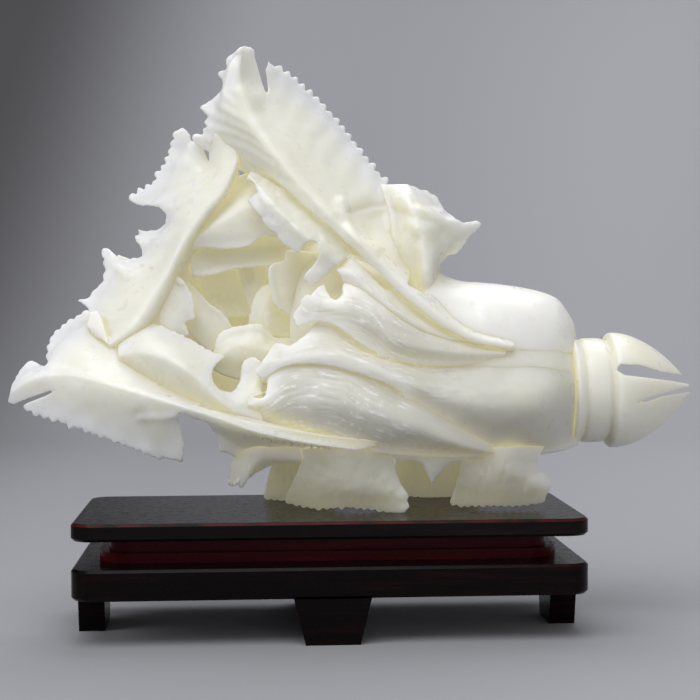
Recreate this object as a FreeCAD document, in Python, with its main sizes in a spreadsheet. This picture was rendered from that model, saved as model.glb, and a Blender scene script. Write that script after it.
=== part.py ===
import FreeCAD, Part
import math
import os
import Sketcher

Vector = FreeCAD.Vector
Rotation = FreeCAD.Rotation
Placement = FreeCAD.Placement

# Sizes in millimetres
SIZES = {
    # Stand: two boards with a waist between them, on four feet
    "stand_length": 212.0,
    "stand_depth": 94.6,
    "stand_corner": 9.0,
    "board_chamfer": 1.1,
    "top_board_thick": 7.2,
    "base_board_thick": 12.7,
    "waist_high": 11.4,
    "waist_end_inset": 13.5,
    "waist_side_inset": 22.0,
    "waist_corner": 10.0,
    "waist_flare": 4.0,
    "foot_high": 18.9,
    "foot_top_wide": 31.6,
    "foot_sole_wide": 22.2,
    "foot_thick": 11.1,
    "stand_shift": 12.25,
    # Dowels that hold the stand together
    "waist_dowel_wide": 6.0,
    "waist_dowel_bite": 4.5,
    "waist_dowel_spread_x": 120.0,
    "waist_dowel_spread_y": 26.0,
    "foot_dowel_wide": 4.0,
    "foot_dowel_bite": 8.0,
    "dowel_clearance": 0.1,
    # Carving, over all
    "carving_length": 297.2,
    "carving_height": 198.2,
    "carving_depth": 92.0,
    # Root end of the cabbage
    "root_radius": 25.0,
    "neck_radius": 22.4,
    "neck_long": 12.5,
    "neck_bury": 4.0,
    "neck_groove": 1.6,
    "claw_long": 38.6,
    "claw_blunt": 1.5,
    "claw_slot_wide": 4.3,
    "claw_slot_long": 33.0,
    "claw_slot_mouth_rise": 4.8,
    "claw_slot_end_rise": 9.1,
    "claw_crease_wide": 1.8,
    "claw_crease_long": 28.0,
    "claw_crease_mouth_rise": 1.7,
    "claw_crease_end_drop": 6.5,
    # Thickness of the carved leaves, along the middle and at the margins
    "stalk_middle": 7.0,
    "stalk_edge": 3.0,
    "leaf_middle": 4.6,
    "leaf_edge": 2.0,
    "petal_middle": 4.0,
    "petal_edge": 1.8,
    "foot_middle": 6.5,
    "foot_edge": 3.0,
    # Teeth and flutes
    "upper_tooth": 2.4,
    "back_tooth": 2.4,
    "lower_tooth": 1.9,
    "inner_tooth": 0.9,
    "foot_flute": 1.2,
    "foot_point": 2.0,
    # How far a cutter runs past what it cuts
    "overrun": 5.0,
}

doc = FreeCAD.newDocument("jade_cabbage")
sheet = doc.addObject("Spreadsheet::Sheet", "Sizes")
for row, (alias, number) in enumerate(SIZES.items(), start=1):
    sheet.set(f"A{row}", alias)
    sheet.set(f"B{row}", str(number))
    sheet.setAlias(f"B{row}", alias)
doc.recompute()

PIECES = []


def size(words):
    """Number that a sum of the sheet's sizes gives."""
    return float(sheet.evalExpression(words)) if words != "0" else 0.0


def keep(piece, node):
    """Give a sub-part its node name and put it on the list of pieces to write."""
    piece.Label = node
    PIECES.append(piece)
    return piece


# Stand: sketches and features


def new_sketch(body, role, name):
    plane = next(item for item in body.Origin.OriginFeatures if item.Role == role)
    sketch = body.newObject("Sketcher::SketchObject", name)
    sketch.AttachmentSupport = (plane, [""])
    sketch.MapMode = "FlatFace"
    return sketch


def polygon(sketch, corners):
    """Closed outline of straight lines, with its corners at sums of the sheet's sizes."""
    ends = [Vector(size(across), size(up), 0) for across, up in corners]
    sides = [sketch.addGeometry(Part.LineSegment(ends[i - 1], ends[i])) for i in range(len(corners))]
    for i, side in enumerate(sides):
        following = sides[(i + 1) % len(sides)]
        sketch.addConstraint(Sketcher.Constraint("Coincident", side, 2, following, 1))
    for side, corner in zip(sides, corners):
        pin_down(sketch, side, 2, corner)


def pin_down(sketch, side, end, corner):
    for kind, words in zip(("DistanceX", "DistanceY"), corner):
        number = sketch.addConstraint(Sketcher.Constraint(kind, side, end, size(words)))
        if words != "0":
            sketch.setExpression(f"Constraints[{number}]", words)


def circle(sketch, across, up, radius):
    """Circle with its centre and radius at sums of the sheet's sizes."""
    centre = Vector(size(across), size(up), 0)
    index = sketch.addGeometry(Part.Circle(centre, Vector(0, 0, 1), size(radius)))
    pin_down(sketch, index, 3, (across, up))
    number = sketch.addConstraint(Sketcher.Constraint("Radius", index, size(radius)))
    sketch.setExpression(f"Constraints[{number}]", radius)


def rectangle(sketch, wide, deep):
    corners = [(-1, -1), (1, -1), (1, 1), (-1, 1)]
    polygon(sketch, [(f"{x} * ({wide}) / 2", f"{y} * ({deep}) / 2") for x, y in corners])


def pad(body, sketch, name, length):
    feature = body.newObject("PartDesign::Pad", name)
    feature.Profile = sketch
    feature.setExpression("Length", length)
    sketch.Visibility = False
    return feature


def pocket(body, sketch, name, length):
    feature = body.newObject("PartDesign::Pocket", name)
    feature.Profile = sketch
    feature.setExpression("Length", length)
    sketch.Visibility = False
    return feature


def edges_where(shape, test):
    return [f"Edge{i}" for i, edge in enumerate(shape.Edges, start=1) if test(edge)]


def upright(edge):
    box = edge.BoundBox
    return box.ZLength > box.XLength + box.YLength


def fillet(body, base, name, test, radius):
    doc.recompute()
    feature = body.newObject("PartDesign::Fillet", name)
    feature.Base = (base, edges_where(base.Shape, test))
    feature.setExpression("Radius", radius)
    return feature


def chamfer(body, base, name, test, wide):
    doc.recompute()
    feature = body.newObject("PartDesign::Chamfer", name)
    feature.Base = (base, edges_where(base.Shape, test))
    feature.setExpression("Size", wide)
    return feature


def waist_dowel_places():
    """Four places, as sums of the sheet's sizes."""
    corners = [(x, y) for x in (-1, 1) for y in (-1, 1)]
    return [(f"{x} * Sizes.waist_dowel_spread_x / 2", f"{y} * Sizes.waist_dowel_spread_y / 2")
            for x, y in corners]


def foot_places():
    """Feet at the middle of the four sides: name, place across and along, turn about +Z."""
    end = "(Sizes.stand_length - Sizes.foot_thick) / 2"
    side = "(Sizes.stand_depth - Sizes.foot_thick) / 2"
    return [("front_foot", "0", f"-{side}", 0), ("back_foot", "0", side, 180),
            ("left_foot", f"-{end}", "0", 270), ("right_foot", end, "0", 90)]


def foot_dowel_places():
    """One dowel for each foot, as sums of the sheet's sizes."""
    return [(across, along) for _, across, along, _ in foot_places()]


FOOT_TOP = "Sizes.foot_high"
BASE_TOP = FOOT_TOP + " + Sizes.base_board_thick"
WAIST_TOP = BASE_TOP + " + Sizes.waist_high"
BOARD_TOP = WAIST_TOP + " + Sizes.top_board_thick"


def board(node, thick, under, holes):
    """Flat board with round corners, chamfered arrises and blind dowel holes."""
    body = doc.addObject("PartDesign::Body", node)
    sketch = new_sketch(body, "XY_Plane", node + "_plan")
    rectangle(sketch, "Sizes.stand_length", "Sizes.stand_depth")
    block = pad(body, sketch, node + "_block", thick)
    rounded = fillet(body, block, node + "_corners", upright, "Sizes.stand_corner")
    soft = chamfer(body, rounded, node + "_arrises", lambda edge: not upright(edge), "Sizes.board_chamfer")
    doc.recompute()
    for number, (places, wide, deep, top) in enumerate(holes):
        full = soft.Shape.Volume if number == 0 else body.Tip.Shape.Volume
        plan = new_sketch(body, "XY_Plane", f"{node}_holes_{number}")
        if top:
            plan.setExpression("AttachmentOffset.Base.z", thick)
        for across, along in places:
            circle(plan, across, along, f"{wide} / 2 + Sizes.dowel_clearance")
        hole = pocket(body, plan, f"{node}_bores_{number}", deep)
        hole.Reversed = not top
        doc.recompute()
        if not hole.Shape.Volume < full:
            raise RuntimeError(f"{node}: the dowel holes cut nothing")
    body.setExpression("Placement.Base.x", "Sizes.stand_shift * -1")
    body.setExpression("Placement.Base.z", under)
    return keep(body, node)


def build_boards():
    waist_holes = (waist_dowel_places(), "Sizes.waist_dowel_wide", "Sizes.waist_dowel_bite")
    foot_holes = (foot_dowel_places(), "Sizes.foot_dowel_wide", "Sizes.foot_dowel_bite")
    board("top_board", "Sizes.top_board_thick", WAIST_TOP, [(*waist_holes, False)])
    board("base_board", "Sizes.base_board_thick", FOOT_TOP, [(*waist_holes, True), (*foot_holes, False)])


def build_waist():
    """Waist with a flare at its foot and through holes for the dowels."""
    body = doc.addObject("PartDesign::Body", "stand_waist")
    wide = "Sizes.stand_length - 2 * Sizes.waist_end_inset"
    deep = "Sizes.stand_depth - 2 * Sizes.waist_side_inset"
    plan = new_sketch(body, "XY_Plane", "waist_plan")
    rectangle(plan, wide, deep)
    block = pad(body, plan, "waist_block", "Sizes.waist_high")
    rounded = fillet(body, block, "waist_corners", upright, "Sizes.waist_corner")
    doc.recompute()
    lower = new_sketch(body, "XY_Plane", "waist_flare_plan")
    rectangle(lower, wide + " + 2 * Sizes.waist_flare", deep + " + 2 * Sizes.waist_flare")
    flare = pad(body, lower, "waist_flare", "Sizes.waist_flare")
    doc.recompute()

    def flare_corner(edge):
        return upright(edge) and edge.BoundBox.ZMax < size("Sizes.waist_high / 2")

    corners = fillet(body, flare, "waist_flare_corners", flare_corner,
                     "Sizes.waist_corner + Sizes.waist_flare")
    doc.recompute()
    full = corners.Shape.Volume
    holes = new_sketch(body, "XY_Plane", "waist_holes")
    for across, along in waist_dowel_places():
        circle(holes, across, along, "Sizes.waist_dowel_wide / 2 + Sizes.dowel_clearance")
    bore = pocket(body, holes, "waist_bores", "Sizes.waist_high + Sizes.overrun")
    bore.Reversed = True
    doc.recompute()
    if not bore.Shape.Volume < full:
        raise RuntimeError("the waist's holes cut nothing")
    body.setExpression("Placement.Base.x", "Sizes.stand_shift * -1")
    body.setExpression("Placement.Base.z", BASE_TOP)
    keep(body, "stand_waist")


def build_feet():
    """Trapezoid plates, flush with the outer edges of the base board."""
    for node, across, along, turn in foot_places():
        body = doc.addObject("PartDesign::Body", node)
        sketch = new_sketch(body, "XZ_Plane", node + "_outline")
        polygon(sketch, [("-Sizes.foot_sole_wide / 2", "0"), ("Sizes.foot_sole_wide / 2", "0"),
                         ("Sizes.foot_top_wide / 2", "Sizes.foot_high"),
                         ("-Sizes.foot_top_wide / 2", "Sizes.foot_high")])
        plate = pad(body, sketch, node + "_plate", "Sizes.foot_thick")
        plate.Midplane = True
        doc.recompute()
        full = plate.Shape.Volume
        top = new_sketch(body, "XY_Plane", node + "_hole_plan")
        top.setExpression("AttachmentOffset.Base.z", "Sizes.foot_high")
        circle(top, "0", "0", "Sizes.foot_dowel_wide / 2 + Sizes.dowel_clearance")
        pocket(body, top, node + "_hole", "Sizes.foot_dowel_bite")
        doc.recompute()
        if not body.Shape.Volume < full:
            raise RuntimeError(f"{node}: the dowel hole cuts nothing")
        body.Placement = Placement(Vector(), Rotation(Vector(0, 0, 1), turn))
        body.setExpression("Placement.Base.x", f"{across} - Sizes.stand_shift")
        body.setExpression("Placement.Base.y", along)
        keep(body, node)


def build_dowels():
    """Two groups of dowels: four through the waist, one in each foot."""
    groups = [("waist_dowels", waist_dowel_places(), "Sizes.waist_dowel_wide",
               "Sizes.waist_high + 2 * Sizes.waist_dowel_bite", BASE_TOP + " - Sizes.waist_dowel_bite"),
              ("foot_dowels", foot_dowel_places(), "Sizes.foot_dowel_wide",
               "2 * Sizes.foot_dowel_bite", FOOT_TOP + " - Sizes.foot_dowel_bite")]
    for node, places, wide, long, under in groups:
        pins = []
        for number, (across, along) in enumerate(places):
            pin = doc.addObject("Part::Cylinder", f"{node}_{number}")
            pin.setExpression("Radius", f"{wide} / 2")
            pin.setExpression("Height", long)
            pin.setExpression("Placement.Base.x", f"{across} - Sizes.stand_shift")
            pin.setExpression("Placement.Base.y", along)
            pin.setExpression("Placement.Base.z", under)
            pins.append(pin)
        group = doc.addObject("Part::Compound", node)
        group.Links = pins
        keep(group, node)


# Carving: points given as they are seen, by column and row, with a depth behind the root's axis

# Where the eye stands, and how it is turned, in the same pixels and in degrees
EYE_PX = Vector(-102.5, -1591.7, 206.3)
EYE_TURN = 3.51
EYE_DIP = 1.78
EYE_LEAN = -0.24
EYE_FOCAL_PX = 1600.0
EYE_CENTRE_PX = (350.0, 350.0)
# Extents of the carving in pixels
LENGTH_PX = 685.0
HEIGHT_PX = 456.8
DEPTH_PX = 212.0
ROOT_AXIS_PX = (604.0, 390.0)
CUTTER_REACH_PX = 110.0

# Directions in which a leaf can be thick, seen from its given side
AWAY = Vector(0, 1, 0)
INWARD = Vector(-0.2, 0.4, -1)
# Flat facets: chords of a round section, shares of a way and of a tooth, and how close their ends meet
STALK_CHORDS = 6
LEAF_CHORDS = 4
CORE_CHORDS = 7
ROOT_CHORDS = 28
SLOPE_SHARE = 0.04
THICK_SHARE = 0.3
TOOTH_SHARES = ((0.0, 0.0), (0.28, 1.0), (0.72, 1.0))
FACET_FIT = 0.0001
# Round shoulder of the claws, as shares of their length and radius
CLAW_SHARES = ((0.12, 1.0), (0.35, 0.93), (0.55, 0.78), (0.75, 0.53), (0.92, 0.2))


def spot(column, row, depth=0.0):
    """Point in millimetres for a seen point at a depth in pixels; the board's top is zero height."""
    turn = math.radians(EYE_TURN)
    dip = math.radians(EYE_DIP)
    ahead = Vector(math.sin(turn) * math.cos(dip), math.cos(turn) * math.cos(dip), -math.sin(dip))
    level = Vector(math.cos(turn), -math.sin(turn), 0)
    above = level.cross(ahead)
    lean = math.radians(EYE_LEAN)
    right = level * math.cos(lean) + above * math.sin(lean)
    up = above * math.cos(lean) - level * math.sin(lean)
    ray = ahead * EYE_FOCAL_PX + right * (column - EYE_CENTRE_PX[0]) + up * (EYE_CENTRE_PX[1] - row)
    seen = EYE_PX + ray * ((depth - EYE_PX.y) / ray.y)
    return Vector(seen.x * size("Sizes.carving_length") / LENGTH_PX,
                  seen.y * size("Sizes.carving_depth") / DEPTH_PX,
                  seen.z * size("Sizes.carving_height") / HEIGHT_PX)


def along(line, share):
    """Point of a guide line at a share of its way, with straight stretches between its points."""
    for (before, start), (after, end) in zip(line, line[1:]):
        if share <= after:
            return start + (end - start) * ((share - before) / (after - before))
    return line[-1][1]


def guide(line_px):
    """Guide line in millimetres, from shares of its way with column, row and depth."""
    return [(share, spot(*seen)) for share, *seen in line_px]


def rounded(stations_px, chords):
    """Guide lines through a row of stations, each a circular arc over its three seen points."""
    lines = [[] for _ in range(chords + 1)]
    for number, station in enumerate(stations_px):
        arc = Part.Arc(*(spot(*seen) for seen in station))
        for line, point in zip(lines, arc.discretize(Number=chords + 1)):
            line.append((number / (len(stations_px) - 1), point))
    return lines


def toothed(line, inner, start, end, count, high):
    """Guide line with a row of blunt teeth between two shares of its way."""
    teeth = [(share, point) for share, point in line if share < start]
    for number in range(count):
        for place, rise in TOOTH_SHARES:
            share = start + (end - start) * (number + place) / count
            root = along(line, share)
            teeth.append((share, root + (root - along(inner, share)).normalize() * (high * rise)))
    teeth.append((end, along(line, end)))
    return teeth + [(share, point) for share, point in line if share > end]


def divided(line, start, end, count):
    """The same guide line with points at equal shares between two of its shares."""
    places = [start + (end - start) * number / count for number in range(count + 1)]
    extra = [(share, along(line, share)) for share in places]
    return sorted([(share, point) for share, point in line if share < start or share > end] + extra,
                  key=lambda place: place[0])


def strip(first, second):
    """Triangles between two guide lines, given as shares and point numbers."""
    triangles = []
    i = 0
    j = 0
    while i < len(first) - 1 or j < len(second) - 1:
        if j == len(second) - 1 or (i < len(first) - 1 and first[i + 1][0] <= second[j + 1][0]):
            triangles.append((first[i][1], second[j][1], first[i + 1][1]))
            i += 1
        else:
            triangles.append((first[i][1], second[j][1], second[j + 1][1]))
            j += 1
    return triangles


def square_to(lines, number, share):
    """Direction square to the leaf at a share of one guide line's way."""
    share = min(max(share, SLOPE_SHARE), 1 - SLOPE_SHARE)
    before = lines[max(number - 1, 0)]
    after = lines[min(number + 1, len(lines) - 1)]
    across = along(after, share) - along(before, share)
    inner = lines[min(max(number, 1), len(lines) - 2)]
    way = along(inner, share + SLOPE_SHARE) - along(inner, share - SLOPE_SHARE)
    return across.cross(way).normalize()


def leaf(lines, middle, edge, side, square=True):
    """Solid of flat facets: the guide lines, and the same lines one thickness to a side."""
    last = len(lines) - 1
    seen = [(number, share, point) for number, line in enumerate(lines) for share, point in line]
    away = [square_to(lines, number, share) if square else side for number, share, _ in seen]
    sign = 1 if sum(direction.dot(side) for direction in away) > 0 else -1
    points = [point for _, _, point in seen]
    for (number, share, point), direction in zip(seen, away):
        wide = along(lines[0], share).distanceToPoint(along(lines[last], share))
        thick = edge + (middle - edge) * math.sin(math.pi * number / last)
        points.append(point + direction * (min(thick, wide * THICK_SHARE) * sign))
    front = [[] for _ in lines]
    for index, (number, share, _) in enumerate(seen):
        front[number].append((share, index))
    back = [[(share, index + len(seen)) for share, index in line] for line in front]
    triangles = []
    for number in range(last):
        triangles += strip(front[number], front[number + 1])
        triangles += [facet[::-1] for facet in strip(back[number], back[number + 1])]
        for end, order in ((0, -1), (-1, 1)):
            square = [front[number][end][1], front[number + 1][end][1],
                      back[number + 1][end][1], back[number][end][1]][::order]
            triangles += [square[:3], [square[0], *square[2:]]]
    triangles += strip(back[0], front[0])
    triangles += strip(front[last], back[last])
    return solid_of(points, triangles)


def tube(rings):
    """Solid of flat facets through closed rings with equal numbers of points."""
    around = len(rings[0])
    points = [point for ring in rings for point in ring]
    triangles = []
    for first in range(0, len(points) - around, around):
        for step in range(around):
            near = first + step
            far = first + (step + 1) % around
            triangles += [(near, far, near + around), (far, far + around, near + around)]
    for first, order in ((0, -1), (len(points) - around, 1)):
        for step in range(1, around - 1):
            triangles.append((first, first + step, first + step + 1)[::order])
    return solid_of(points, triangles)


def solid_of(points, triangles):
    """Solid inside a closed skin of triangles, given by the numbers of their points."""
    shell = Part.Shape()
    shell.makeShapeFromMesh((points, [tuple(facet) for facet in triangles]), FACET_FIT)
    if Part.makeSolid(shell).Volume < 0:
        shell.reverse()
    return Part.makeSolid(shell)


def ring(points, steps):
    """Round section through four seen points: top, near, bottom, far."""
    top, near, low, far = (spot(*point) for point in points)
    arcs = [Part.Arc(top, near, low), Part.Arc(low, far, top)]
    return [point for arc in arcs for point in arc.discretize(Number=steps + 1)[:-1]]


def sight_prism(outline_px):
    """Cutter along the line of sight, from an outline as it is seen."""
    near = [spot(*corner, -CUTTER_REACH_PX) for corner in outline_px]
    far = [spot(*corner, CUTTER_REACH_PX) for corner in outline_px]
    return tube([near, far])


CARVED = []


def carve(node, solid):
    """Add one leaf; what earlier leaves already fill is cut away, so that they meet face to face."""
    for done in CARVED:
        if done.BoundBox.intersect(solid.BoundBox):
            solid = max(solid.cut(done).Solids, key=lambda part: part.Volume)
    CARVED.append(solid)
    piece = doc.addObject("Part::Feature", node)
    piece.Shape = solid
    piece.Placement = Placement(Vector(0, 0, size(BOARD_TOP)), Rotation())
    return keep(piece, node)


def turned(profile, centre):
    """Solid of flat facets, turned about a line along X from points of its length and radius."""
    turns = [2 * math.pi * number / ROOT_CHORDS for number in range(ROOT_CHORDS)]
    return tube([[centre + Vector(long, -wide * math.sin(turn), wide * math.cos(turn)) for turn in turns]
                 for long, wide in profile])


def side_prism(outline, centre):
    """Cutter along the Y axis, from an outline in length and height."""
    reach = 2 * size("Sizes.root_radius")
    return tube([[centre + Vector(long, side * reach, high) for long, high in outline] for side in (-1, 1)])


def build_root():
    """Neck ring and the pointed claws, turned about the cabbage's axis, with a slot and a crease."""
    centre = spot(*ROOT_AXIS_PX)
    neck = size("Sizes.neck_radius")
    groove = size("Sizes.neck_groove")
    wide = size("Sizes.root_radius")
    long = size("Sizes.claw_long")
    neck_end = -size("Sizes.neck_long")
    mouth = long + size("Sizes.overrun")
    claws = turned([(neck_end - size("Sizes.neck_bury"), neck - groove), (neck_end, neck), (-groove, neck),
                    (0, neck - groove), (groove, wide),
                    *((share * long, radius_share * wide) for share, radius_share in CLAW_SHARES),
                    (long, size("Sizes.claw_blunt"))], centre)
    half = size("Sizes.claw_slot_wide") / 2
    end = long - size("Sizes.claw_slot_long") + half
    mouth_rise = size("Sizes.claw_slot_mouth_rise")
    end_rise = size("Sizes.claw_slot_end_rise")
    slot = side_prism([(mouth, mouth_rise - half), (mouth, mouth_rise + half), (end, end_rise + half),
                       (end - half, end_rise), (end, end_rise - half)], centre)
    crease_rise = size("Sizes.claw_crease_mouth_rise")
    crease_half = size("Sizes.claw_crease_wide") / 2
    crease = side_prism([(mouth, crease_rise - crease_half), (mouth, crease_rise + crease_half),
                         (long - size("Sizes.claw_crease_long"), -size("Sizes.claw_crease_end_drop"))],
                        centre)
    for cutter in (slot, crease):
        full = claws.Volume
        claws = claws.cut(cutter).Solids[0]
        if not claws.Volume < full:
            raise RuntimeError("a cut in the root takes nothing away")
    carve("root_claws", claws)


# Simple leaves are a row of stations from base to tip; each station is one margin, the rib and the
# other margin, as the column, row and depth that are seen there.

CORE_PX = [
    ((574, 344, 0), (574, 392, -48), (574, 438, 0), (574, 392, 48)),
    ((545, 312, 0), (545, 385, -62), (545, 448, -5), (545, 385, 62)),
    ((470, 300, 5), (470, 370, -66), (470, 444, 0), (470, 370, 68)),
    ((380, 265, 20), (380, 345, -60), (380, 436, 5), (380, 345, 70)),
    ((310, 240, 35), (310, 330, -30), (310, 420, 15), (310, 325, 75)),
    ((290, 262, 40), (290, 330, -10), (290, 400, 20), (290, 330, 70)),
]

STALKS_PX = {
    "main_front_stalk": [
        ((574, 350, -25), (576, 395, -50), (574, 441, -25)),
        ((550, 352, -52), (550, 400, -78), (550, 452, -45)),
        ((490, 357, -66), (490, 405, -86), (490, 452, -55)),
        ((430, 365, -72), (430, 388, -86), (430, 412, -80)),
        ((360, 344, -70), (360, 358, -82), (360, 376, -78)),
        ((308, 338, -62), (310, 350, -74), (312, 364, -70)),
        ((272, 346, -50), (268, 358, -58), (266, 372, -54)),
    ],
    "lower_front_stalk": [
        ((510, 446, -62), (510, 450, -68), (510, 455, -55)),
        ((450, 424, -78), (450, 438, -84), (450, 454, -66)),
        ((400, 393, -80), (400, 422, -92), (400, 453, -66)),
        ((350, 371, -78), (350, 408, -92), (350, 448, -64)),
        ((300, 364, -68), (300, 402, -82), (300, 439, -58)),
        ((262, 384, -56), (256, 404, -64), (256, 422, -52)),
    ],
    "middle_front_stalk": [
        ((505, 350, -60), (505, 354, -68), (505, 359, -62)),
        ((455, 346, -66), (455, 354, -78), (455, 363, -70)),
        ((400, 326, -66), (400, 342, -80), (400, 362, -74)),
        ((355, 297, -62), (352, 318, -76), (350, 338, -70)),
        ((322, 286, -50), (312, 306, -62), (300, 332, -56)),
    ],
    "upper_front_stalk": [
        ((485, 341, -58), (485, 345, -66), (485, 350, -60)),
        ((430, 320, -62), (430, 329, -74), (430, 339, -66)),
        ((385, 288, -58), (383, 300, -70), (381, 314, -64)),
        ((346, 258, -46), (340, 270, -56), (345, 286, -50)),
    ],
}

ROUND_LEAVES_PX = {
    "heart_cup": [
        ((226, 160, 22), (255, 184, 46), (290, 190, 30)),
        ((208, 212, 18), (262, 235, 66), (326, 240, 36)),
        ((184, 256, 14), (255, 290, 76), (334, 285, 24)),
        ((168, 292, 10), (245, 330, 76), (332, 340, 16)),
        ((140, 330, 8), (225, 370, 62), (315, 385, 12)),
        ((122, 352, 4), (180, 388, 32), (250, 408, -4)),
    ],
    "back_stalk": [
        ((573, 350, -32), (573, 334, 4), (573, 366, 40)),
        ((552, 351, -48), (552, 298, 8), (552, 372, 62)),
        ((500, 342, -56), (500, 287, 12), (500, 368, 74)),
        ((452, 318, -50), (450, 280, 14), (450, 360, 76)),
        ((420, 285, -40), (425, 262, 14), (415, 340, 76)),
    ],
    "rear_upper_leaf": [
        ((573, 356, 20), (573, 376, 40), (573, 396, 36)),
        ((500, 318, 35), (500, 350, 66), (500, 392, 60)),
        ((420, 262, 50), (420, 315, 78), (420, 375, 68)),
        ((330, 215, 62), (330, 275, 88), (340, 345, 80)),
        ((250, 180, 68), (250, 235, 94), (262, 300, 88)),
        ((196, 165, 74), (200, 200, 90), (215, 240, 86)),
    ],
    "rear_lower_leaf": [
        ((573, 394, 36), (573, 416, 32), (572, 436, 10)),
        ((500, 388, 60), (500, 422, 56), (500, 448, 28)),
        ((420, 370, 66), (420, 420, 70), (420, 455, 42)),
        ((330, 340, 78), (330, 400, 84), (330, 450, 56)),
        ((240, 300, 84), (235, 360, 92), (240, 430, 68)),
        ((118, 256, 78), (115, 300, 88), (140, 360, 72)),
    ],
}

PETALS_PX = {
    "inner_fold": [
        ((193, 238, 24), (189, 257, 12), (198, 278, 16)),
        ((216, 222, 36), (214, 250, 16), (219, 275, 19)),
        ((242, 215, 42), (242, 244, 16), (246, 269, 17)),
        ((280, 222, 36), (274, 248, 12), (276, 266, 14)),
    ],
    "deep_right_petal": [
        ((247, 332, 18), (262, 336, 4), (290, 338, 14)),
        ((251, 306, 22), (265, 308, 6), (292, 312, 16)),
        ((260, 286, 26), (272, 284, 14), (292, 286, 20)),
    ],
    "top_inner_leaf": [
        ((195, 235, 12), (192, 243, 0), (194, 251, 5)),
        ((206, 208, 24), (214, 228, 2), (222, 249, 4)),
        ((230, 184, 30), (240, 212, 2), (252, 245, 4)),
        ((256, 178, 22), (268, 206, -2), (282, 240, -2)),
    ],
    "right_petal": [
        ((272, 260, 0), (286, 252, -12), (306, 256, -4)),
        ((268, 286, 0), (284, 284, -14), (310, 286, -4)),
        ((277, 312, 2), (290, 316, -10), (308, 312, 0)),
    ],
    "lower_petal": [
        ((216, 332, 12), (212, 346, -6), (216, 366, -4)),
        ((240, 324, 12), (238, 346, -14), (242, 374, -10)),
        ((264, 324, 10), (264, 346, -16), (262, 378, -12)),
        ((306, 342, 6), (304, 352, -12), (300, 372, -8)),
    ],
    "left_petal": [
        ((146, 264, 26), (160, 266, 2), (174, 276, 12)),
        ((138, 288, 24), (164, 290, -8), (189, 292, 8)),
        ((132, 312, 22), (164, 318, -12), (195, 312, 6)),
        ((136, 338, 18), (166, 344, -14), (190, 334, 4)),
    ],
}

FEET_PX = {
    "front_left_foot": [
        ((302, 446, -48), (345, 450, -66), (394, 452, -48)),
        ((297, 475, -40), (345, 478, -58), (398, 476, -40)),
        ((284, 510, -36), (345, 520, -58), (408, 520, -38)),
    ],
    "front_right_foot": [
        ((466, 450, -46), (505, 452, -64), (562, 448, -42)),
        ((460, 478, -40), (503, 480, -58), (546, 476, -38)),
        ((449, 504, -34), (500, 503, -54), (552, 500, -34)),
    ],
    "back_left_foot": [
        ((282, 436, 50), (310, 440, 38), (345, 436, 50)),
        ((270, 475, 60), (298, 478, 46), (336, 475, 60)),
        ((262, 506, 68), (294, 508, 54), (336, 506, 68)),
    ],
    "back_right_foot": [
        ((400, 436, 60), (438, 440, 46), (484, 436, 60)),
        ((394, 470, 72), (434, 472, 58), (478, 470, 72)),
        ((386, 504, 82), (432, 506, 70), (482, 504, 82)),
    ],
    "left_stub": [
        ((228, 452, -44), (242, 450, -54), (262, 450, -44)),
        ((229, 468, -38), (242, 470, -48), (258, 468, -38)),
        ((226, 484, -34), (239, 487, -44), (250, 484, -34)),
    ],
}

# Leaves with bays and teeth have guide lines from one margin over the rib to the other margin. A line's
# points are its shares of the way from base to tip, each with the column, row and depth seen there.

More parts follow.
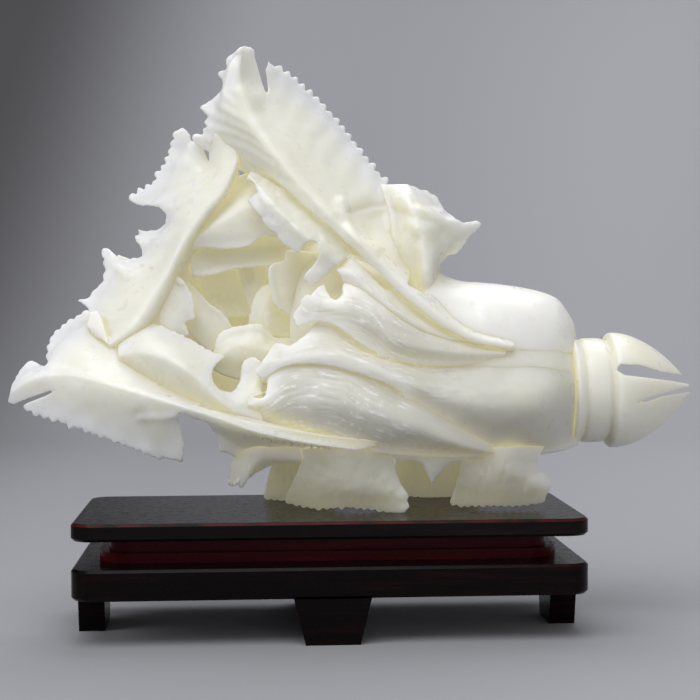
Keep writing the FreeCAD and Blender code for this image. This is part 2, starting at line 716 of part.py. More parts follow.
LEAVES_PX = {
    "upper_leaf": (
        [(0, 520, 354, -52), (.12, 468, 349, -56), (.25, 417, 320, -58), (.34, 375, 280, -54),
         (.42, 340, 248, -42), (.50, 308, 218, -30), (.58, 276, 196, -14), (.65, 240, 170, 8),
         (.70, 212, 152, 20), (.73, 196, 143, 24), (.76, 193, 135, 24), (.79, 206, 124, 20),
         (.83, 201, 109, 22), (.87, 213, 98, 18), (.90, 223, 86, 14), (.93, 219, 73, 16),
         (.965, 229, 57, 14), (1, 236, 51, 12)],
        [(0, 518, 350, -58), (.12, 469, 342, -64), (.25, 421, 312, -66), (.42, 346, 242, -52),
         (.58, 288, 190, -30), (.70, 244, 142, -4), (.83, 224, 104, 8), (.90, 231, 86, 8),
         (.94, 230, 68, 8), (1, 239, 50, 10)],
        [(0, 515, 346, -60), (.12, 469, 334, -67), (.25, 427, 303, -68), (.42, 353, 236, -56),
         (.58, 301, 186, -38), (.75, 251, 127, -14), (.83, 240, 106, -4), (.90, 237, 84, 2),
         (1, 242, 49, 8)],
        [(0, 512, 342, -57), (.12, 467, 326, -60), (.25, 436, 296, -52), (.42, 382, 246, -30),
         (.58, 348, 188, -8), (.70, 312, 136, 10), (.80, 276, 100, 16), (.90, 247, 78, 12),
         (1, 245, 49, 10)],
        [(0, 509, 337, -52), (.12, 463, 318, -50), (.25, 444, 290, -36), (.34, 418, 274, -14),
         (.42, 406, 250, -6), (.50, 399, 222, 6), (.58, 390, 188, 20), (.63, 379, 174, 26),
         (.70, 352, 138, 32), (.77, 325, 105, 36), (.84, 297, 80, 36), (.895, 275, 62, 34),
         (.93, 262, 52, 26), (.965, 254, 50, 18), (1, 248, 49, 12)],
    ),
    "inner_right_leaf": (
        [(0, 250, 173, -6), (.25, 276, 187, -20), (.50, 303, 206, -32), (.75, 330, 230, -42),
         (1, 348, 256, -46)],
        [(0, 249, 176, -14), (.11, 264, 189, -28), (.25, 276, 199, -38), (.50, 295, 217, -46),
         (.66, 314, 229, -50), (.74, 328, 242, -52), (.85, 333, 252, -53), (1, 341, 261, -53)],
        [(0, 246, 180, -8), (.12, 257, 192, -22), (.20, 253, 205, -26), (.30, 263, 219, -34),
         (.42, 276, 232, -40), (.56, 297, 250, -46), (.67, 313, 240, -48), (.75, 316, 254, -50),
         (.82, 304, 272, -46), (.88, 310, 281, -46), (1, 332, 269, -48)],
    ),
    "back_left_leaf": (
        [(0, 190, 126, 46), (.03, 182, 128, 48), (.07, 177, 136, 50), (.12, 170, 148, 52),
         (.17, 164, 162, 54), (.22, 157, 176, 54), (.27, 146, 187, 54), (.32, 130, 201, 54),
         (.36, 156, 205, 46), (.395, 166, 213, 42), (.425, 166, 222, 42), (.455, 158, 229, 42),
         (.52, 136, 229, 46), (.56, 135, 240, 46), (.60, 142, 252, 44), (.64, 136, 262, 42),
         (.67, 122, 261, 44), (.71, 108, 248, 48), (.74, 102, 254, 48), (.78, 106, 277, 44),
         (.81, 92, 290, 40), (.85, 77, 300, 36), (.88, 88, 309, 30), (.92, 84, 322, 18),
         (.96, 92, 334, 8), (1, 104, 341, -2)],
        [(0, 204, 131, 34), (.20, 192, 168, 24), (.40, 182, 212, 16), (.50, 168, 236, 16),
         (.60, 158, 257, 16), (.645, 146, 270, 16), (.70, 128, 284, 16), (.82, 114, 304, 14),
         (1, 107, 344, -5)],
        [(0, 218, 134, 22), (.12, 234, 152, 10), (.22, 229, 178, 0), (.38, 206, 212, -4),
         (.55, 182, 248, -8), (.70, 163, 286, -12), (.85, 138, 326, -14), (1, 111, 348, -6)],
        [(0, 226, 140, 36), (.12, 246, 160, 30), (.22, 246, 186, 34), (.38, 228, 222, 34),
         (.55, 207, 262, 30), (.70, 190, 298, 24), (.85, 166, 336, 16), (1, 122, 353, 4)],
    ),
    "lower_left_leaf": (
        [(0, 8, 402, -4), (.03, 14, 406, -6), (.08, 26, 409, -10), (.15, 58, 422, -22), (.22, 93, 434, -32),
         (.28, 131, 447, -38), (.325, 152, 456, -42), (.35, 163, 460, -42), (.375, 182, 460, -46),
         (.39, 184, 440, -56), (.403, 178, 418, -66), (.425, 195, 420, -70), (.45, 210, 427, -68),
         (.465, 218, 440, -62), (.483, 223, 458, -54), (.50, 236, 462, -52), (.55, 262, 458, -54),
         (.60, 290, 453, -56), (.68, 345, 463, -56), (.76, 394, 464, -56), (.84, 450, 464, -54),
         (.91, 510, 464, -48), (.96, 545, 463, -40), (1, 568, 456, -32)],
        [(0, 9, 393, -12), (.04, 20, 386, -18), (.08, 32, 377, -24), (.15, 58, 374, -36),
         (.25, 98, 381, -54), (.35, 140, 392, -68), (.395, 168, 399, -73), (.43, 192, 407, -76),
         (.46, 204, 412, -76), (.48, 212, 416, -76), (.58, 257, 434, -74),
         (.70, 330, 449, -74), (.85, 430, 455, -70), (.93, 510, 454, -60), (1, 566, 449, -40)],
        [(0, 12, 385, -4), (.05, 22, 368, -6), (.08, 30, 361, -4), (.115, 47, 364, -6), (.13, 49, 352, 4),
         (.15, 51, 341, 8), (.18, 62, 330, 12), (.215, 72, 321, 14), (.25, 90, 313, 16), (.29, 106, 325, 6),
         (.33, 122, 350, -14), (.37, 145, 372, -34), (.43, 188, 396, -54), (.50, 228, 408, -60),
         (.58, 262, 420, -62), (.70, 330, 436, -62), (.85, 430, 444, -60), (.93, 510, 444, -52),
         (1, 562, 442, -36)],
    ),
    "inner_front_leaf": (
        [(0, 118, 344, -6), (.10, 126, 335, -8), (.22, 145, 324, -8), (.40, 175, 333, -12),
         (.58, 205, 349, -18), (.68, 214, 353, -22), (.75, 224, 357, -24), (.81, 214, 367, -28),
         (.86, 213, 377, -32), (.90, 224, 386, -36), (.93, 233, 390, -38), (.955, 240, 378, -36),
         (.97, 243, 363, -32),
         (.985, 252, 358, -32), (1, 262, 363, -32)],
        [(0, 118, 356, -18), (.22, 145, 354, -36), (.40, 172, 366, -46), (.60, 190, 376, -50),
         (.80, 197, 380, -52), (.895, 236, 404, -52), (1, 262, 396, -48)],
        [(0, 124, 368, -14), (.20, 150, 384, -34), (.40, 185, 400, -46), (.60, 210, 411, -52),
         (.80, 230, 418, -54), (1, 264, 420, -52)],
    ),
    "back_curled_leaf": (
        [(0, 415, 300, -30), (.3, 404, 268, -24), (.5, 398, 240, -18), (.7, 394, 215, -8),
         (.85, 388, 196, 2), (1, 384, 182, 16)],
        [(0, 428, 292, -34), (.3, 425, 262, -38), (.5, 420, 236, -38), (.7, 412, 212, -30),
         (.85, 405, 196, -14), (1, 402, 184, 4)],
        [(0, 446, 280, 0), (.1, 440, 272, 6), (.2, 440, 266, 10), (.35, 447, 257, 12),
         (.48, 460, 250, 12), (.58, 470, 236, 12), (.66, 481, 222, 12), (.7, 470, 219, 14),
         (.75, 462, 217, 14), (.82, 450, 211, 16), (.9, 440, 200, 18), (.95, 424, 189, 20),
         (1, 412, 184, 20)],
    ),
}

THIN_LEAVES = ("inner_right_leaf", "inner_front_leaf")

# Rows of teeth: number of the guide line, shares between which they stand, how many, and their height
TEETH = {
    "upper_leaf": (-1, 0.585, 0.895, 17, "Sizes.upper_tooth"),
    "back_left_leaf": (0, 0.03, 0.32, 10, "Sizes.back_tooth"),
    "lower_left_leaf": (0, 0.07, 0.35, 19, "Sizes.lower_tooth"),
    "inner_front_leaf": (0, 0.30, 0.66, 8, "Sizes.inner_tooth"),
}

# Slits that part a leaf's tip, as they are seen
SLITS_PX = {
    "upper_leaf": [(252, 44), (265, 68), (267, 96), (260, 72)],
    "lower_left_leaf": [(4, 404), (18, 410), (62, 389), (30, 396)],
}

# How many flutes and points each foot has
FOOT_POINTS = {"front_left_foot": 6, "front_right_foot": 5, "back_left_foot": 4, "back_right_foot": 4,
               "left_stub": 2}


def build_core():
    """Solid heart that all the leaves grow from."""
    carve("heart_core", tube([ring(points, CORE_CHORDS) for points in CORE_PX]))


def build_stalks():
    for node, stations_px in STALKS_PX.items():
        lines = rounded(stations_px, STALK_CHORDS)
        carve(node, leaf(lines, size("Sizes.stalk_middle"), size("Sizes.stalk_edge"), AWAY))


def build_round_leaves():
    for node, stations_px in ROUND_LEAVES_PX.items():
        lines = rounded(stations_px, LEAF_CHORDS)
        side = INWARD if node == "back_stalk" else AWAY
        carve(node, leaf(lines, size("Sizes.leaf_middle"), size("Sizes.leaf_edge"), side))


def build_leaves():
    """Broad leaves with bays in their margins, rows of teeth and slits at the tip."""
    for node, lines_px in LEAVES_PX.items():
        lines = [guide(line) for line in lines_px]
        if node in TEETH:
            number, start, end, count, high = TEETH[node]
            inner = 1 if number == 0 else -2
            lines[number] = toothed(lines[number], lines[inner], start, end, count, size(high))
            lines[inner] = divided(lines[inner], start, end, count)
        kind = "petal" if node in THIN_LEAVES else "leaf"
        solid = leaf(lines, size(f"Sizes.{kind}_middle"), size(f"Sizes.{kind}_edge"), AWAY, square=False)
        if node in SLITS_PX:
            solid = solid.cut(sight_prism(SLITS_PX[node]))
        carve(node, solid)


def build_petals():
    for node, stations_px in PETALS_PX.items():
        lines = rounded(stations_px, LEAF_CHORDS)
        carve(node, leaf(lines, size("Sizes.petal_middle"), size("Sizes.petal_edge"), AWAY))


def build_carved_feet():
    """Fluted ends of the lower leaves, with a row of points that stand on the board."""
    above = Part.makeBox(*[3 * size("Sizes.carving_length")] * 3)
    above.translate(Vector(-1.5 * size("Sizes.carving_length"), -1.5 * size("Sizes.carving_length"), 0))
    flute = Vector(0, -size("Sizes.foot_flute"), -size("Sizes.foot_point"))
    for node, stations_px in FEET_PX.items():
        lines = rounded(stations_px, 2 * FOOT_POINTS[node])
        for number in range(1, len(lines), 2):
            lines[number] = [(share, point + flute * share) for share, point in lines[number]]
        solid = leaf(lines, size("Sizes.foot_middle"), size("Sizes.foot_edge"), AWAY)
        carve(node, solid.common(above).Solids[0])


build_boards()
build_waist()
build_feet()
build_dowels()
build_root()
build_core()
build_stalks()
build_leaves()
build_round_leaves()
build_petals()
build_carved_feet()

doc.recompute()
for item in doc.Objects:
    if {"Invalid", "Error"} & set(item.State):
        raise RuntimeError(f"{item.Name} failed: {item.State}")
os.makedirs("parts", exist_ok=True)
for piece in PIECES:
    if piece.Shape.isNull() or not piece.Shape.isValid():
        raise RuntimeError(f"{piece.Label} is not a valid solid")
for piece in PIECES:
    piece.Shape.exportStep(f"parts/{piece.Label}.step")
    print(piece.Label, round(piece.Shape.Volume), len(piece.Shape.Solids), len(piece.Shape.Faces))
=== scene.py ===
import bmesh
import bpy
import math
import numpy as np
from mathutils import Matrix, Vector
from mathutils.kdtree import KDTree

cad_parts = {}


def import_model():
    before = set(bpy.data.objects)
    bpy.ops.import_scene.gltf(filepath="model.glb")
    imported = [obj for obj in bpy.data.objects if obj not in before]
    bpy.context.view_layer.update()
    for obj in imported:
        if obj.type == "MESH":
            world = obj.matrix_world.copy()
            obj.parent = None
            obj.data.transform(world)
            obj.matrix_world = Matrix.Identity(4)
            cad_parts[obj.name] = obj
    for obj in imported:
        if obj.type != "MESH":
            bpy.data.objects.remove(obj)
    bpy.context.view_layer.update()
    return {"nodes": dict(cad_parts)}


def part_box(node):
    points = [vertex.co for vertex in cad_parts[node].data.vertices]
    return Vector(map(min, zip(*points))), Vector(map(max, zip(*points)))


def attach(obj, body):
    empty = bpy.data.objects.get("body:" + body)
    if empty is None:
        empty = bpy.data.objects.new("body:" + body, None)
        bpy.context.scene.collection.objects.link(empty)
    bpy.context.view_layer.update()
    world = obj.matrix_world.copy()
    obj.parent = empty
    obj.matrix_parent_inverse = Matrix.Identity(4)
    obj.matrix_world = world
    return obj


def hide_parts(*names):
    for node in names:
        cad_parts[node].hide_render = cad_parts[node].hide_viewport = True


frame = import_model()
MM = 0.001

# View of the photograph, with the eye measured from the point under the object's middle
EYE = Vector((-44.45, -690.6, 139.7)) * MM
EYE_TURN = math.radians(3.51)
EYE_DIP = math.radians(1.78)
EYE_LEAN = math.radians(-0.24)
FOCAL_PX = 1600.0
CENTRE_PX = 350.0
PICTURE_PX = 700.0
SENSOR_MM = 36.0

# Size of one pixel of the photograph where the object stands
PX = 297.2 * MM / 685.0

# The top board, on which the carving stands
BOARD_LOW, BOARD_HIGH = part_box("top_board")

# How the leaves are worked out and cut
MARGIN_STEP_PX = 0.55
CUTTER_DEPTH_PX = 140
CLEAR_PX = 9
TOOTH_VARIETY = 0.35
TOOTH_ROUNDNESS = 0.65
RUN_ON_STEPS = 12
END_ROWS = 4
SETTLING_ROUNDS = 14
RIM_ANGLES = (math.pi / 4, math.pi / 2, 3 * math.pi / 4)
RIM_SWELL = 0.8

# What a metre along a leaf counts in the stroke marks' pattern
STROKE_SCALE = 100


def view_axes():
    """Directions ahead, right and up of the photograph's view."""
    sine, cosine = math.sin(EYE_TURN), math.cos(EYE_TURN)
    ahead = Vector((sine * math.cos(EYE_DIP), cosine * math.cos(EYE_DIP), -math.sin(EYE_DIP)))
    level = Vector((cosine, -sine, 0))
    above = level.cross(ahead)
    right = level * math.cos(EYE_LEAN) + above * math.sin(EYE_LEAN)
    up = above * math.cos(EYE_LEAN) - level * math.sin(EYE_LEAN)
    return ahead, right, up


AHEAD, RIGHT, UP = (np.array(axis) for axis in view_axes())


def spots(seen):
    """Points in metres for rows of column, row and depth, all in pixels of the photograph."""
    seen = np.atleast_2d(np.asarray(seen, float))
    ray = AHEAD * FOCAL_PX + RIGHT * (seen[:, :1] - CENTRE_PX) + UP * (CENTRE_PX - seen[:, 1:2])
    reach = (seen[:, 2] * PX - EYE.y) / ray[:, 1]
    return np.array(EYE) + ray * reach[:, None]


# Numbers that vary smoothly


def curve(knots, values, at):
    """Smooth curve through values at the knots (Catmull-Rom with uneven steps)."""
    knots = np.asarray(knots, float)
    values = np.asarray(values, float)
    if values.ndim == 1:
        return curve(knots, values[:, None], at)[:, 0]
    step = np.diff(knots)[:, None]
    slope = np.diff(values, axis=0) / step
    tangent = np.empty_like(values)
    tangent[0] = slope[0]
    tangent[-1] = slope[-1]
    tangent[1:-1] = (slope[:-1] * step[1:] + slope[1:] * step[:-1]) / (step[:-1] + step[1:])
    span = np.clip(np.searchsorted(knots, at, "right") - 1, 0, len(knots) - 2)
    wide = step[span]
    x = ((at - knots[span]) / wide[:, 0])[:, None]
    return ((2 * x**3 - 3 * x**2 + 1) * values[span] + (x**3 - 2 * x**2 + x) * wide * tangent[span]
            + (3 * x**2 - 2 * x**3) * values[span + 1] + (x**3 - x**2) * wide * tangent[span + 1])


def hashed(*whole):
    """Steady pseudo-random number from 0 to 1 for whole-number coordinates."""
    mixed = np.zeros(np.shape(whole[0]), np.uint32)
    for number, prime in zip(whole, (374761393, 668265263, 2147483647, 1274126177)):
        mixed ^= (np.asarray(number).astype(np.int64) * prime & 0xFFFFFFFF).astype(np.uint32)
        mixed ^= mixed >> np.uint32(13)
        mixed = (mixed.astype(np.uint64) * 1274126177 & 0xFFFFFFFF).astype(np.uint32)
    mixed ^= mixed >> np.uint32(16)
    return mixed / 4294967295.0


def noise(points, seed):
    """Smooth lattice noise from -1 to 1 at rows of two or three coordinates."""
    points = np.asarray(points, float)
    base = np.floor(points).astype(np.int64)
    part = points - base
    part = part * part * (3 - 2 * part)
    axes = points.shape[-1]
    total = np.zeros(points.shape[:-1])
    for corner in range(2**axes):
        bits = [(corner >> axis) & 1 for axis in range(axes)]
        weight = np.ones(points.shape[:-1])
        for axis, bit in enumerate(bits):
            weight = weight * (part[..., axis] if bit else 1 - part[..., axis])
        place = [base[..., axis] + bit for axis, bit in enumerate(bits)]
        total += weight * hashed(*place, np.full(total.shape, seed))
    return total * 2 - 1


def ease(value, low, high):
    """Smooth step from 0 at the low value to 1 at the high one."""
    x = np.clip((value - low) / (high - low), 0, 1)
    return x * x * (3 - 2 * x)


def unit(vectors):
    """The same directions with length 1."""
    return vectors / np.maximum(np.linalg.norm(vectors, axis=-1, keepdims=True), 1e-12)


def run_length(points, axis):
    """Distance along one direction of a grid of points."""
    steps = np.linalg.norm(np.diff(points, axis=axis), axis=-1)
    return np.insert(np.cumsum(steps, axis=axis), 0, 0, axis=axis)


# Leaves: closed shells over a few guide lines


def across_arc(guides, share):
    """Circular arcs through three guide lines."""
    near, middle, far = guides
    a = middle - near
    b = far - near
    normal = np.cross(a, b)
    scale = 2 * np.sum(normal**2, axis=1, keepdims=True)
    centre = near + (np.cross(normal, a) * np.sum(b * b, axis=1, keepdims=True)
                     + np.cross(b, normal) * np.sum(a * a, axis=1, keepdims=True)) / scale
    start = near - centre
    side = np.cross(unit(normal), start)

    def angle(point):
        reach = point - centre
        turn = np.arctan2(np.sum(reach * unit(side), axis=1), np.sum(reach * unit(start), axis=1))
        return np.where(turn < 0, turn + 2 * math.pi, turn)

    turn = angle(far)[:, None] * share[None, :]
    cosine, sine = np.cos(turn)[..., None], np.sin(turn)[..., None]
    return centre[:, None] + start[:, None] * cosine + side[:, None] * sine


def across_lines(guides, share, soft):
    """Lines across a leaf, between straight (0) and smooth (1), through the guide lines."""
    stack = np.array(guides)
    gaps = np.linalg.norm(np.diff(stack, axis=0), axis=-1).mean(axis=1)
    knots = np.insert(np.cumsum(gaps), 0, 0) / gaps.sum()
    smooth = curve(knots, stack.reshape(len(guides), -1), share).reshape(len(share), -1, 3)
    span = np.clip(np.searchsorted(knots, share, "right") - 1, 0, len(guides) - 2)
    part = ((share - knots[span]) / (knots[span + 1] - knots[span]))[:, None, None]
    straight = stack[span] * (1 - part) + stack[span + 1] * part
    return (smooth * soft + straight * (1 - soft)).transpose(1, 0, 2)


def ironed(line, along, width):
    """The same line without its small bays and lobes, with its ends kept."""
    weight = np.exp(-((along[:, None] - along[None, :]) / width)**2)
    smooth = weight @ line / weight.sum(axis=1, keepdims=True)
    place = along[:, None]
    return smooth + (1 - place) * (line[0] - smooth[0]) + place * (line[-1] - smooth[-1])


def reach_at(wide, places):
    """How far a leaf runs on past its margin: one length, or lengths at places along it, in millimetres."""
    if isinstance(wide, (int, float)):
        return np.full(len(places), float(wide))
    return np.interp(places, *zip(*wide))


def extended(points, share, along, wide, base, tip):
    """Grid of points that runs on past its margins, its base and its tip."""
    places = np.arange(1, RUN_ON_STEPS + 1) / RUN_ON_STEPS
    for side, inner, far in ((0, 4, wide[0]), (-1, -5, wide[1])):
        out = unit(ironed(unit(points[:, side] - points[:, inner]), along, 0.05))
        out = unit(out - 0.5 * (out @ AHEAD)[:, None] * AHEAD)
        reach = (reach_at(far, along) * MM)[:, None, None]
        more = points[:, side, None] + out[:, None] * reach * places[None, :, None]
        if side == 0:
            points = np.concatenate([more[:, ::-1], points], axis=1)
            share = np.concatenate([share[0] - places[::-1] * 0.02, share])
        else:
            points = np.concatenate([points, more], axis=1)
            share = np.concatenate([share, share[-1] + places * 0.02])
    steps = np.arange(1, END_ROWS + 1)[:, None, None] / END_ROWS
    head = points[:1] + unit(points[0] - points[4])[None] * base * MM * steps[::-1]
    tail = points[-1:] + unit(points[-1] - points[-5])[None] * tip * MM * steps
    ends = np.arange(1, END_ROWS + 1) * along[1]
    return np.concatenate([head, points, tail]), share, np.concatenate([-ends[::-1], along, 1 + ends])


def away_from(line, column, row):
    """Distance in pixels of seen points from a line of columns and rows."""
    gap = np.full(np.shape(column), 1e9)
    for (u0, v0), (u1, v1) in zip(line, line[1:]):
        long = max((u1 - u0)**2 + (v1 - v0)**2, 1e-9)
        place = np.clip(((column - u0) * (u1 - u0) + (row - v0) * (v1 - v0)) / long, 0, 1)
        gap = np.minimum(gap, np.hypot(column - u0 - place * (u1 - u0), row - v0 - place * (v1 - v0)))
    return gap


def seen(points):
    """Columns and rows at which points are seen in the photograph."""
    reach = points - np.array(EYE)
    ahead = reach @ AHEAD
    return CENTRE_PX + FOCAL_PX * (reach @ RIGHT) / ahead, CENTRE_PX - FOCAL_PX * (reach @ UP) / ahead


def settled(normals):
    """Normals evened out with those of their neighbours."""
    for _ in range(SETTLING_ROUNDS):
        wider = np.pad(normals, ((1, 1), (1, 1), (0, 0)), mode="edge")
        normals = unit(normals * 2 + wider[:-2, 1:-1] + wider[2:, 1:-1] + wider[1:-1, :-2] + wider[1:-1, 2:])
    return normals


class Leaf:
    """Grid of points on the seen side of a leaf, from its base to its tip and across its width."""

    def __init__(self, lines, rows, columns, soft=None, iron=0.0, wide=None, base=3.0, tip=4.0):
        self.along = np.linspace(0, 1, rows)
        angle = np.linspace(0, math.pi, columns)
        # Columns lie closer together at the margins
        close, even = 0.62, 0.38
        self.share = close * (0.5 - 0.5 * np.cos(angle)) + even * np.linspace(0, 1, columns)
        guides = []
        for line in lines:
            line = np.asarray(line, float)
            guides.append(curve(line[:, 0], spots(line[:, 1:]), self.along))
        if iron:
            guides[0] = ironed(guides[0], self.along, iron)
            guides[-1] = ironed(guides[-1], self.along, iron)
        points = across_arc(guides, self.share) if soft is None else across_lines(guides, self.share, soft)
        if wide:
            points, self.share, self.along = extended(points, self.share, self.along, wide, base, tip)
        self.points = points
        self.measure()

    def measure(self):
        """Distances along, across and from the margins, and normals that point to the front."""
        self.long_way = run_length(self.points, 0)
        self.wide_way = run_length(self.points, 1)
        first = np.searchsorted(self.share, -1e-9)
        last = np.searchsorted(self.share, 1 + 1e-9) - 1
        self.from_first = np.maximum(self.wide_way - self.wide_way[:, first:first + 1], 0)
        self.from_last = np.maximum(self.wide_way[:, last:last + 1] - self.wide_way, 0)
        down = np.gradient(self.points, axis=0)
        over = np.gradient(self.points, axis=1)
        self.normal = unit(np.cross(down, over))
        if self.normal[..., 1].mean() > 0:
            self.normal = -self.normal

    def facing(self, direction):
        """Point the normals to the side that the direction shows."""
        if (self.normal @ np.array(direction)).mean() < 0:
            self.normal = -self.normal

    def ragged(self, deep, pitch, seed):
        """Uneven broken edge along the last margin."""
        line = self.points[:, -1]
        length = np.insert(np.cumsum(np.linalg.norm(np.diff(line, axis=0), axis=1)), 0, 0)
        wave = noise(np.stack([length / pitch, np.zeros_like(length)], -1), seed)
        wave += 0.5 * noise(np.stack([length / pitch * 2.3, np.zeros_like(length)], -1), seed + 1)
        out = unit(line - self.points[:, -4])
        fade = 1 - ease(self.from_last, 0, 3 * MM)
        self.points += (out * (wave * deep)[:, None])[:, None, :] * fade[..., None]

    def ways(self, long, wide):
        """Places along and across the leaf, in steps of two lengths."""
        return np.stack([self.long_way / long, self.wide_way / wide], -1)

    def push(self, height):
        """Move the points out by a height at each."""
        self.points += self.normal * np.broadcast_to(height, self.points.shape[:2])[..., None]

    def lip(self, last, high, wide, start=0.0):
        """Margin that turns up towards the seen side, from a place along the leaf to the tip."""
        away = self.from_last if last else self.from_first
        soft = 0.06
        fade = ease(self.along, start - soft, start + soft) * (1 - ease(self.along, 1 - soft, 1 + soft))
        self.push(high * np.exp(-(away / wide)**2) * fade[:, None])

    def dent(self, place, high, long, wide, turn, hard=1.0):
        """Soft hollow (or hump, if its height is below zero) about a seen column, row and depth."""
        centre = spots(place)[0]
        reach = self.points - centre
        across = reach @ RIGHT
        up = reach @ UP
        x = (across * math.cos(turn) + up * math.sin(turn)) / (long * PX)
        y = (up * math.cos(turn) - across * math.sin(turn)) / (wide * PX)
        self.push(-high * np.exp(-(x * x + y * y)**hard))

    def crease(self, line, deep, wide):
        """Groove (or rib, if its depth is below zero) along a line of seen columns and rows."""
        column, row = seen(self.points)
        self.push(-deep * np.exp(-(away_from(line, column, row) / wide)**2))

    def veins(self, share, high, pitch, slant, reach, seed, first_only=False):
        """Side veins that leave the rib at a slant and swell towards both margins or the first."""
        column = np.array([np.interp(share, self.share, row) for row in self.wide_way])
        gap = self.wide_way - column[:, None]
        side = np.abs(gap)
        rib = self.long_way[:, np.searchsorted(self.share, share), None]
        phase = (rib - side * slant) / pitch
        phase = phase + 0.35 * noise(self.ways(3 * pitch, 2 * pitch), seed)
        swell = ease(side, 0, reach)
        if first_only:
            swell = swell * (gap < 0)
        self.push(high * np.sin(2 * math.pi * phase) * swell)

    def worn(self, high, size, seed):
        """Soft unevenness of a hand-carved surface."""
        place = self.points / size
        self.push(high * (noise(place, seed) + 0.5 * noise(place * 2.1, seed + 5)))

    def strokes(self, deep, long, wide, seed, start):
        """Short chisel cuts that run along the leaf from a place on."""
        wander = 0.6 * noise(self.ways(2.5 * long, 6 * wide), seed + 9)
        field = noise(np.stack([self.long_way / long, self.wide_way / wide + wander], -1), seed)
        field = ease(field, 0.55 - 0.45, 0.55 + 0.35)
        fade = ease(self.along, start, start + 0.1) * (1 - ease(self.along, 1 - 0.06, 1))
        edges = ease(np.minimum(self.from_first, self.from_last), 0.5 * MM, 2.5 * MM)
        self.push(-deep * field * fade[:, None] * edges)

    def shell(self, name, thin, thick, ramp, tip, base=None):
        """Closed mesh with a rounded rim: thin at the margins and the tip, thick along the middle."""
        self.measure_keep()
        near_tip = self.long_way[-1:] - self.long_way
        near = np.minimum(np.minimum(self.from_first, self.from_last), near_tip * ramp / tip)
        if base is not None:
            near = np.minimum(near, self.long_way * ramp / base)
        body = thin + (thick - thin) * ease(near, -0.3 * ramp, ramp)
        back = self.points - settled(self.normal) * body[..., None]
        columns = self.points.shape[1]
        out_first = unit(self.points[:, 0] - self.points[:, 2])
        out_last = unit(self.points[:, -1] - self.points[:, -3])
        rims = []
        last = (self.points[:, -1], back[:, -1], out_last)
        first = (back[:, 0], self.points[:, 0], out_first)
        for front, rear, out in (last, first):
            middle = (front + rear) / 2
            half = (front - rear) / 2
            swell = np.linalg.norm(half, axis=1, keepdims=True) * RIM_SWELL
            for angle in RIM_ANGLES:
                rims.append((middle + half * math.cos(angle) + out * swell * math.sin(angle))[:, None])
        ring = np.concatenate([self.points, *rims[:3], back[:, ::-1], *rims[3:]], axis=1)
        return ring_mesh(name, ring, columns)

    def measure_keep(self):
        """New distances after the outline has changed, with the normals' side kept."""
        before = self.normal
        self.measure()
        if (self.normal * before).sum(-1).mean() < 0:
            self.normal = -self.normal


def ring_quads(index):
    """Four-sided faces between rings, from a grid of the points' numbers."""
    following = np.roll(index, -1, axis=1)
    return np.stack([index[:-1], following[:-1], following[1:], index[1:]], -1).reshape(-1, 4)


def ring_mesh(name, ring, columns):
    """Object from a leaf's rings of points, with rows of small faces that close both ends."""
    rows, around = ring.shape[:2]
    index = np.arange(rows * around).reshape(rows, around)
    quads = [ring_quads(index)]
    triangles = []
    front = np.arange(columns - 1)
    rear = 2 * columns + 2 - front
    for line in (index[0], index[-1]):
        quads.append(np.stack([line[front], line[front + 1], line[rear - 1], line[rear]], -1))
        for first in (columns - 1, 2 * columns + 2):
            rim = [line[(first + step) % around] for step in range(5)]
            quads.append(np.array([[rim[0], rim[1], rim[3], rim[4]]]))
            triangles.append(rim[1:4])
    quads = np.concatenate(quads)
    corners = np.concatenate([quads.reshape(-1), np.array(triangles).reshape(-1)]).astype(np.int32)
    starts = np.concatenate([np.arange(len(quads)) * 4, len(quads) * 4 + np.arange(len(triangles)) * 3])
    mesh = bpy.data.meshes.new(name)
    mesh.vertices.add(rows * around)
    mesh.vertices.foreach_set("co", ring.reshape(-1))
    mesh.loops.add(len(corners))
    mesh.loops.foreach_set("vertex_index", corners)
    mesh.polygons.add(len(starts))
    mesh.polygons.foreach_set("loop_start", starts.astype(np.int32))
    mesh.update(calc_edges=True)
    return outward(new_object(name, mesh))


def outward(piece):
    """Turn the faces outwards and shade them smooth."""
    form = bmesh.new()
    form.from_mesh(piece.data)
    bmesh.ops.recalc_face_normals(form, faces=form.faces)
    for face in form.faces:
        face.smooth = True
    form.to_mesh(piece.data)
    form.free()
    return piece


def new_object(name, mesh):
    """Object with a mesh, in the scene."""
    piece = bpy.data.objects.new(name, mesh)
    bpy.context.scene.collection.objects.link(piece)
    return piece


# Outlines that are cut through a leaf along the line of sight


